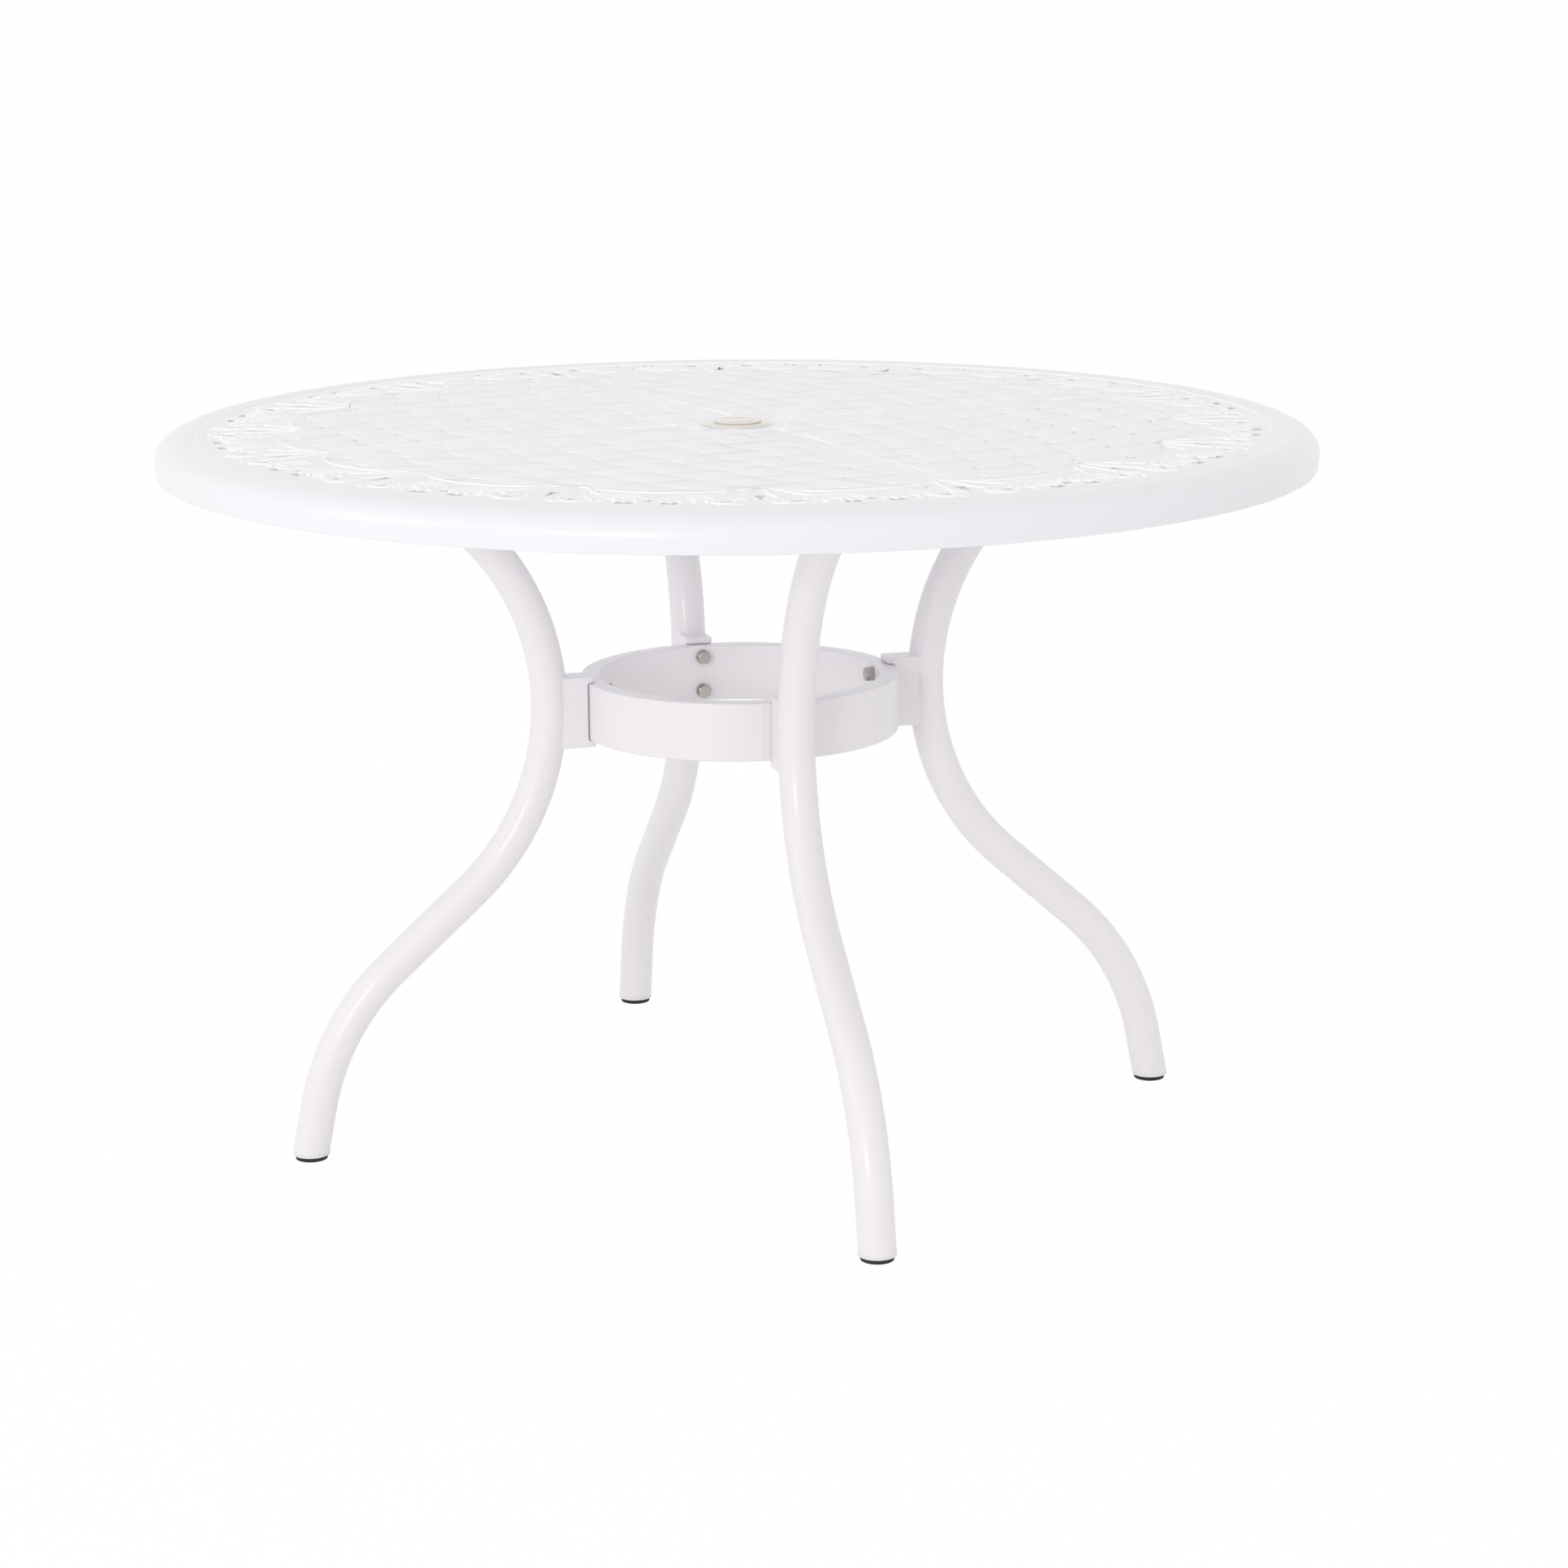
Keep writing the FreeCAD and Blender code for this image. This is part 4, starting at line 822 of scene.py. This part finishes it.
def makePoleRing():
    s = ringSizes
    stepEnd, stepHeight = s["stepRadius"] - s["stepSlope"], s["top"] - s["stepDrop"]
    makeRoundPiece("poleRing", "umbrella_ring", [
        (s["boreRadius"], s["low"], 0.8), (s["outerRadius"], s["low"], 0.8),
        (s["outerRadius"], s["seat"], 0), (s["flangeRadius"], s["seat"], 0.3),
        (s["flangeRadius"], s["edgeTop"], 0.7), (s["stepRadius"], s["edgeTop"], 0.5),
        (stepEnd, stepHeight, 0.5), (s["innerStepRadius"], s["top"], 0.5),
        (s["counterRadius"], s["top"], 0.6), (s["counterRadius"], s["counterLow"], 0.3),
        (s["boreRadius"], s["counterLow"], 0.5)], milkyPlastic)


def makePoleCap():
    s = capSizes
    knob, hollow = s["knobRadius"], s["knobTop"] - s["hollow"]
    makeRoundPiece("poleCap", "umbrella_cap", [
        (0, s["low"], 0), (s["skirtInner"], s["low"], 0.5), (s["skirtInner"], s["skirtLow"], 0.6),
        (s["skirtOuter"], s["skirtLow"], 0.6), (s["skirtOuter"], s["low"], 0.4),
        (s["radius"], s["low"], 0.5), (s["radius"], s["discTop"], 0.8),
        (knob + s["knobFoot"], s["discTop"], 0.6), (knob, s["knobTop"], 0.6),
        (knob - s["hollowStart"], s["knobTop"], 0.5), (knob - s["hollowEnd"], hollow, 0.5),
        (s["dimpleRadius"], hollow, 0.5), (0, hollow, 0)], milkyPlastic, "cap")


makeHub()
makePoleRing()
makePoleCap()
print("umbrella hole made")


# Bent tube legs: two straights and two bends, cut level at the foot and under their plates
legSizes = {
    "tubeRadius": 19.05,
    "footRadius": 477.6,
    "footLean": 11.2,
    "footStraight": 57.7,
    "bendRadius": 263.5,
    "kneeLean": 48.6,
    "kneeStraight": 112.4,
    "topLean": -54.0,
    "footHeight": 8.8,
    "plateGap": 0.02,
    "sides": 56,
    "bendStep": 2.5,
    "overrun": 40.0,
}


# The legs' plates stand where the frame has them
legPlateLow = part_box("leg_plate_1")[0][2] / mm
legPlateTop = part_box("leg_plate_1")[1][2] / mm


# Centre line of a leg as places and leans, from the floor to past its plate
def legLine():
    s = legSizes
    place = Vector((s["footRadius"], 0, 0))
    lean = s["footLean"]

    def ahead(degrees):
        return Vector((-math.sin(math.radians(degrees)), 0, math.cos(math.radians(degrees))))

    line = [(place.copy(), lean)]
    for straight, target in ((s["footStraight"], s["kneeLean"]), (s["kneeStraight"], s["topLean"])):
        place += ahead(lean) * straight
        line.append((place.copy(), lean))
        count = round(abs(target - lean) / s["bendStep"])
        turn = (target - lean) / count
        chord = 2 * s["bendRadius"] * math.sin(math.radians(abs(turn)) / 2)
        for i in range(count):
            place += ahead(lean + turn / 2) * chord
            lean += turn
            line.append((place.copy(), lean))
    rise = legPlateLow - place.z + s["overrun"]
    place += ahead(lean) * rise / math.cos(math.radians(lean))
    line.append((place.copy(), lean))
    return line


def makeTube(line, radius, low, high):
    bm = bmesh.new()
    stations = [Matrix.Translation(place) @ Matrix.Rotation(math.radians(-lean), 4, "Y")
                for place, lean in line]
    sweepSection(bm, circleSection(radius, legSizes["sides"]), stations)
    closeEnds(bm)
    cutAway(bm, (0, 0, low), (0, 0, -1))
    cutAway(bm, (0, 0, high), (0, 0, 1))
    faceOutwards(bm)
    return bm


# A shape made for a leg along the first axis, copied to the leg at its own azimuth
def placeAtLeg(k, name, bm, material, node=None, body=None, sharpAngle=35):
    copy = movedCopy(bm, toMetres @ turnedAbout(legAzimuths[k]))
    makePiece(numbered(name, k), copy, material, numbered(body, k) if body else "table",
              [numbered(node, k)] if node else (), sharpAngle)


centreLine = legLine()
leg = makeTube(centreLine, legSizes["tubeRadius"], legSizes["footHeight"],
               legPlateLow - legSizes["plateGap"])
for k in range(4):
    placeAtLeg(k, "bentTubeLeg", leg, tubeWhite, "leg")
leg.free()
print("legs made")


# Leg plates with their weld, a bead round the slanting tube
plateSizes = {"length": 130.0, "width": 52.0, "corner": 8.0, "boltSpacing": 100.0, "edge": 0.8}
weldSizes = {"bead": 2.6, "sides": 8, "steps": 48, "ripples": 24, "rippleShare": 0.08}


# How far from the middle a leg's centre line meets its plate
def plateReach():
    place, lean = centreLine[-1]
    return place.x + math.tan(math.radians(lean)) * (place.z - legPlateLow)


def makeLegPlate():
    s = plateSizes
    middle, x, y = plateReach(), s["length"] / 2, s["width"] / 2
    corners = [(middle - x, -y, s["corner"]), (middle + x, -y, s["corner"]),
               (middle + x, y, s["corner"]), (middle - x, y, s["corner"])]
    bm = bmesh.new()
    sweepSection(bm, roundedOutline(corners, chords=5),
                 [Matrix.Translation((0, 0, legPlateLow)), Matrix.Translation((0, 0, legPlateTop))])
    closeEnds(bm)
    faceOutwards(bm)
    edges = [edge for edge in bm.edges if abs(edge.verts[0].co.z - edge.verts[1].co.z) < near]
    bmesh.ops.bevel(bm, geom=edges, offset=s["edge"], segments=2, profile=0.5, affect="EDGES",
                    material=-1)
    return bm


def makePlateWeld():
    s = weldSizes
    radius = legSizes["tubeRadius"]
    long = radius / math.cos(math.radians(legSizes["topLean"]))
    bm = bmesh.new()
    stations = []
    for i in range(s["steps"] + 1):
        angle = math.tau * i / s["steps"]
        place = Vector((plateReach() + long * math.cos(angle), radius * math.sin(angle), legPlateLow))
        tangent = Vector((-long * math.sin(angle), radius * math.cos(angle), 0)).normalized()
        beside = Vector((tangent.y, -tangent.x, 0))
        matrix = Matrix((beside, Vector((0, 0, 1)), -tangent)).transposed().to_4x4()
        ripple = 1 + s["rippleShare"] * math.sin(angle * s["ripples"])
        stations.append(Matrix.Translation(place) @ matrix @ Matrix.Scale(ripple, 4))
    sweepSection(bm, circleSection(s["bead"], s["sides"]), stations)
    bmesh.ops.remove_doubles(bm, verts=bm.verts, dist=joinReach)
    faceOutwards(bm)
    return bm


plate, weld = makeLegPlate(), makePlateWeld()
for k in range(4):
    placeAtLeg(k, "weldedPlate", plate, tubeWhite, "leg_plate")
    placeAtLeg(k, "plateWeld", weld, tubeWhite)
plate.free()
weld.free()
print("leg plates made")


# Brace ring: rolled box section with softened corners and the ground weld that closes it
braceSizes = {
    "middle": 465.5,
    "height": 61.0,
    "outerRadius": 169.0,
    "depth": 20.0,
    "corner": 2.2,
    "steps": 192,
    "seamAzimuth": -53.0,
    "seamWidth": 3.2,
    "seamRise": 0.25,
    "seamDepth": 1.0,
    "seamRound": 0.24,
    "seamMargin": 1.5,
}


def makeBraceRing():
    s = braceSizes
    low, high = s["middle"] - s["height"] / 2, s["middle"] + s["height"] / 2
    inner, outer = s["outerRadius"] - s["depth"], s["outerRadius"]
    bm = spinProfile(roundedOutline([
        (inner, low, s["corner"]), (outer, low, s["corner"]), (outer, high, s["corner"]),
        (inner, high, s["corner"])], chords=4), s["steps"])
    bm.transform(toMetres)
    makePiece("rolledBraceRing", bm, tubeWhite, nodes=["brace_ring"])
    seam = bmesh.new()
    sideways = Matrix(((0, 1, 0, 0), (1, 0, 0, 0), (0, 0, 1, 0), (0, 0, 0, 1)))
    widen = Matrix.Diagonal((s["seamWidth"] / 2, s["seamDepth"], 1, 1))
    sweepSection(seam, stripSection(s["seamWidth"] / 2, s["seamDepth"], s["seamRound"]),
                 [Matrix.Translation((outer + s["seamRise"] - s["seamDepth"], 0, z)) @ sideways @ widen
                  for z in (low + s["seamMargin"], high - s["seamMargin"])])
    closeEnds(seam)
    faceOutwards(seam)
    seam.transform(toMetres @ turnedAbout(s["seamAzimuth"]))
    makePiece("braceRingSeam", seam, tubeWhite)


makeBraceRing()
print("brace ring made")


# Saddles: cast brackets welded to the legs; the fillets are grown from the bracket and a stretch of tube
saddleSizes = {"voxel": 0.8, "tubeLow": 405.0, "tubeHigh": 526.0, "shrink": 0.25, "smoothings": 12}


def makeSaddle():
    s = saddleSizes
    bm = bmesh.new()
    bm.from_mesh(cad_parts["saddle_1"].data)
    bmesh.ops.remove_doubles(bm, verts=bm.verts, dist=joinReach * mm)
    bm.transform(turnedAbout(-legAzimuths[0]))
    tube = makeTube(centreLine, legSizes["tubeRadius"] - s["shrink"], s["tubeLow"], s["tubeHigh"])
    tube.transform(toMetres)
    joinInto(bm, [tube])
    blank = addObject("saddleBlank", bm)
    remesh = blank.modifiers.new("voxels", "REMESH")
    remesh.mode = "VOXEL"
    remesh.voxel_size = s["voxel"] * mm
    grown = bpy.data.meshes.new_from_object(blank.evaluated_get(bpy.context.evaluated_depsgraph_get()))
    bpy.data.meshes.remove(blank.data)       # takes its object with it
    bm = bmesh.new()
    bm.from_mesh(grown)
    bpy.data.meshes.remove(grown)
    for i in range(s["smoothings"]):
        bmesh.ops.smooth_vert(bm, verts=bm.verts, factor=0.5,
                              use_axis_x=True, use_axis_y=True, use_axis_z=True)
    return bm


saddle = makeSaddle()        # in metres already, as the frame's meshes are
for k in range(4):
    makePiece(numbered("castSaddle", k), movedCopy(saddle, turnedAbout(legAzimuths[k])), tubeWhite,
              nodes=[numbered("saddle", k)], sharpAngle=80)
saddle.free()
print("saddles made")


# Hexagon bolts with chamfered heads, flat washers and split washers
boltSizes = {
    "flats": 13.0,
    "head": 5.3,
    "chamferRadius": 6.2,
    "chamferDrop": 0.7,
    "chamferLean": 30.0,
    "shankRadius": 3.95,
    "tipLength": 1.0,
    "tipInset": 0.8,
    "steps": 48,
    "washerRadius": 8.0,
    "washerHole": 4.3,
    "washer": 1.6,
    "washerSteps": 40,
    "springRadius": 7.2,
    "spring": 2.0,
    "slit": 9.0,             # degrees
    "topShank": 16.0,
    "ringShank": 34.0,
    "ringFace": 148.7,
    "ringSpacing": 38.0,
    "firstTwist": 17.0,      # each head is turned by hand, so no two stand alike
    "twistStep": 23.0,
}


# A bolt stands with its seat at the origin and its shank along the third axis
def makeBolt(length):
    s = boltSizes
    corner = s["flats"] / math.sqrt(3)
    shank = s["shankRadius"]
    bm = spinProfile([(0, -s["head"]), (s["chamferRadius"], -s["head"]),
                      (corner, -s["head"] + s["chamferDrop"]), (corner, 0), (shank, 0),
                      (shank, length - s["tipLength"]), (shank - s["tipInset"], length), (0, length)],
                     s["steps"])
    for vert in bm.verts:
        if math.hypot(vert.co.x, vert.co.y) < corner - near:
            continue
        side = math.degrees(math.atan2(vert.co.y, vert.co.x)) % 60 - 30    # from the middle of a flat
        reach = s["flats"] / 2 / math.cos(math.radians(side)) / corner
        vert.co.x *= reach
        vert.co.y *= reach
        if vert.co.z < -near:
            slope = math.tan(math.radians(s["chamferLean"]))
            vert.co.z = -s["head"] + (reach * corner - s["chamferRadius"]) * slope
    return bm


def makeWasher():
    s = boltSizes
    hole, radius, top = s["washerHole"], s["washerRadius"], s["washer"]
    corners = [(hole, 0, 0.15), (radius, 0, 0.3), (radius, top, 0.3), (hole, top, 0.15)]
    return spinProfile(roundedOutline(corners), s["washerSteps"])


def makeSplitWasher():
    s = boltSizes
    return spinProfile([(s["washerHole"], 0), (s["springRadius"], 0), (s["springRadius"], s["spring"]),
                        (s["washerHole"], s["spring"])], s["washerSteps"], 360 - s["slit"])


def makeFasteners():
    s = boltSizes
    outwards = Matrix.Rotation(math.radians(90), 4, "Y")
    topPlaces, ringPlaces = [], []
    for k, azimuth in enumerate(legAzimuths):
        for i, sign in enumerate((-1, 1)):
            twist = turnedAbout(s["firstTwist"] + s["twistStep"] * (2 * k + i))
            reach = plateReach() + sign * plateSizes["boltSpacing"] / 2
            topPlaces.append(turnedAbout(azimuth) @ Matrix.Translation((reach, 0, legPlateLow)) @ twist)
            height = braceSizes["middle"] + sign * s["ringSpacing"] / 2
            ringPlaces.append(turnedAbout(azimuth) @ Matrix.Translation((s["ringFace"], 0, height))
                              @ outwards @ twist)
    underWasher = Matrix.Translation((0, 0, -s["washer"]))
    underBoth = Matrix.Translation((0, 0, -s["washer"] - s["spring"]))
    for name, node, bm, places, drop in (
            ("topBolts", "top_bolts", makeBolt(s["topShank"]), topPlaces, underWasher),
            ("topWashers", "top_washers", makeWasher(), topPlaces, underWasher),
            ("ringBolts", "ring_bolts", makeBolt(s["ringShank"]), ringPlaces, underBoth),
            ("ringFlatWashers", "ring_flat_washers", makeWasher(), ringPlaces, underWasher),
            ("ringSplitWashers", "ring_spring_washers", makeSplitWasher(), ringPlaces, underBoth)):
        row = joinInto(bmesh.new(), [movedCopy(bm, place @ drop) for place in places])
        bm.free()
        row.transform(toMetres)
        makePiece(name, row, steel, nodes=[node], sharpAngle=25)


makeFasteners()
print("fasteners made")


# Feet: flanged insert in the tube's end, knurled glide and its threaded stud
footSizes = {
    "flangeRadius": 19.4,
    "flangeLow": 5.3,
    "flange": 3.5,
    "plugRadius": 15.0,
    "plugLength": 12.0,
    "glideRadius": 17.0,
    "glideHeight": 5.0,
    "soleInset": 2.2,
    "wallInset": 0.2,
    "wallLow": 0.7,
    "chamfer": 0.9,
    "knurls": 60,
    "knurlDepth": 0.45,
    "knurlReach": 0.5,
    "studRadius": 3.9,
    "studTop": 23.0,
    "studLap": 1.0,
    "threadPitch": 1.25,
    "threadDepth": 0.5,
    "holeRadius": 4.05,
    "insertSteps": 64,
    "studSteps": 24,
}


def makeInsert():
    s = footSizes
    top = s["flangeLow"] + s["flange"]
    plugTop = top + s["plugLength"]
    return spinProfile(roundedOutline([
        (s["holeRadius"], s["flangeLow"], 0.4), (s["flangeRadius"], s["flangeLow"], 0.8),
        (s["flangeRadius"], top, 0.5), (s["plugRadius"], top, 0), (s["plugRadius"], plugTop, 1),
        (s["holeRadius"], plugTop, 0.4)]), s["insertSteps"])


def makeGlide():
    s = footSizes
    radius, top = s["glideRadius"], s["glideHeight"]
    bm = spinProfile(roundedOutline([
        (0, 0, 0), (radius - s["soleInset"], 0, 0.4), (radius - s["wallInset"], s["wallLow"], 0.5),
        (radius, top - s["chamfer"], 0.2), (radius - s["chamfer"], top, 0.4), (0, top, 0)], chords=2),
        2 * s["knurls"])
    for vert in bm.verts:
        reach = math.hypot(vert.co.x, vert.co.y)
        step = round(math.degrees(math.atan2(vert.co.y, vert.co.x)) / (180 / s["knurls"]))
        if reach > radius - s["knurlReach"] and step % 2:
            vert.co.x *= 1 - s["knurlDepth"] / reach
            vert.co.y *= 1 - s["knurlDepth"] / reach
    return bm


def makeStud():
    s = footSizes
    start, end = s["glideHeight"] - s["studLap"], s["studTop"]
    crest, root = s["studRadius"], s["studRadius"] - s["threadDepth"]
    profile = [(0, start)]
    for i in range(int((end - start) / s["threadPitch"])):
        z = start + i * s["threadPitch"]
        profile += [(root, z), (crest, z + s["threadPitch"] / 2)]
    profile += [(root, end), (0, end)]
    return spinProfile(profile, s["studSteps"])


footSlope = math.tan(math.radians(legSizes["footLean"]))
footReach = legSizes["footRadius"] - legSizes["footHeight"] * footSlope
insert, glide, stud = makeInsert(), makeGlide(), makeStud()
for bm in (insert, glide, stud):
    bm.transform(Matrix.Translation((footReach, 0, 0)))
for k in range(4):
    placeAtLeg(k, "tubeInsert", insert, whitePlastic, "foot_insert")
    placeAtLeg(k, "knurledGlide", glide, blackPlastic, "levelling_foot", "foot",
               sharpAngle=25)
    placeAtLeg(k, "threadedStud", stud, steel, body="foot")
for bm in (insert, glide, stud):
    bm.free()
print("feet made")


# Studio: pale floor and white surround
studio = {
    "surround": 0.885,
    "floorColour": "FAFAFA",
    "floorSize": 160.0,      # m
    "floorWhite": 0.97,      # share of it that the eye sees as plain white; the rest shows the shadow
    "aimHeight": 0.5,        # m, where the lamps point
}
# Soft square lamps placed by azimuth, elevation and distance from the table, in metres and watts
lamps = {
    "frontLamp": {"azimuth": -83, "elevation": 11, "distance": 5.5, "size": 0.9, "power": 42.0},
    "leftLamp": {"azimuth": -128, "elevation": 20, "distance": 5.0, "size": 2.2, "power": 14.0},
}


# One for the rays that see the background itself, by eye, in a reflection or through plastic
def seenRays(tree):
    rays = addNode(tree, "ShaderNodeLightPath")
    seen = rays.outputs["Is Camera Ray"]
    for kind in ("Is Glossy Ray", "Is Transmission Ray"):
        either = addNode(tree, "ShaderNodeMath", {"operation": "MAXIMUM"},
                         {0: seen, 1: rays.outputs[kind]})
        seen = either.outputs[0]
    return seen


def makeWorld():
    world = bpy.data.worlds.new("studioSurround")
    bpy.context.scene.world = world
    world.use_nodes = True
    tree = world.node_tree
    tree.nodes.clear()
    pale, white = (addNode(tree, "ShaderNodeBackground", {"Color": (1, 1, 1, 1), "Strength": strength})
                   for strength in (studio["surround"], 1.0))
    mix = addNode(tree, "ShaderNodeMixShader", {},
                  {0: seenRays(tree), 1: pale.outputs[0], 2: white.outputs[0]})
    addNode(tree, "ShaderNodeOutputWorld", {}, {"Surface": mix.outputs[0]})


def makeFloor():
    bm = bmesh.new()
    bmesh.ops.create_grid(bm, x_segments=1, y_segments=1, size=studio["floorSize"] / 2)
    floor = addObject("floor", bm)
    material, tree = newMaterial("whiteFloor")
    matt = addNode(tree, "ShaderNodeBsdfDiffuse", {"Color": srgb(studio["floorColour"])})
    white = addNode(tree, "ShaderNodeEmission", {"Color": (1, 1, 1, 1), "Strength": 1.0})
    share = addNode(tree, "ShaderNodeMath", {"operation": "MULTIPLY", 1: studio["floorWhite"]},
                    {0: seenRays(tree)})
    mix = addNode(tree, "ShaderNodeMixShader", {},
                  {0: share.outputs[0], 1: matt.outputs[0], 2: white.outputs[0]})
    addNode(tree, "ShaderNodeOutputMaterial", {}, {"Surface": mix.outputs[0]})
    floor.data.materials.append(material)


def makeLamps():
    aim = Vector((0, 0, studio["aimHeight"]))
    for name, s in lamps.items():
        lamp = bpy.data.lights.new(name, "AREA")
        lamp.energy = s["power"]
        lamp.shape = "SQUARE"
        lamp.size = s["size"]
        holder = bpy.data.objects.new(name, lamp)
        lift = math.radians(s["elevation"])
        level = polar(s["distance"] * math.cos(lift), s["azimuth"])
        holder.location = aim + level + Vector((0, 0, s["distance"] * math.sin(lift)))
        holder.rotation_euler = (aim - holder.location).to_track_quat("-Z", "Y").to_euler()
        bpy.context.collection.objects.link(holder)


makeWorld()
makeFloor()
makeLamps()

# Camera: where the photograph was taken from, worked out from the table's own sizes
cameraSizes = {
    "turn": 29.2,            # round the table
    "distance": 4001.3,
    "height": 1293.2,
    "pitch": 0.2261,         # radians, as the next two
    "yaw": 0.0116,
    "roll": -0.006,
    "lens": 87.88,
    "sensor": 36.0,
    "farthest": 200.0,       # m
}


def makeCamera():
    s = cameraSizes
    place = Matrix.Translation(Vector((0, -s["distance"], s["height"])) * mm)
    gaze = (Matrix.Rotation(-s["yaw"], 4, "Z") @ Matrix.Rotation(math.pi / 2 - s["pitch"], 4, "X")
            @ Matrix.Rotation(s["roll"], 4, "Z"))
    camera = bpy.data.cameras.new("camera")
    camera.lens = s["lens"]
    camera.sensor_width = s["sensor"]
    camera.clip_end = s["farthest"]
    holder = bpy.data.objects.new("camera", camera)
    holder.matrix_world = turnedAbout(s["turn"]) @ place @ gaze
    bpy.context.collection.objects.link(holder)
    bpy.context.scene.camera = holder


makeCamera()
bpy.context.scene.view_settings.view_transform = "Standard"
print("studio and camera made")
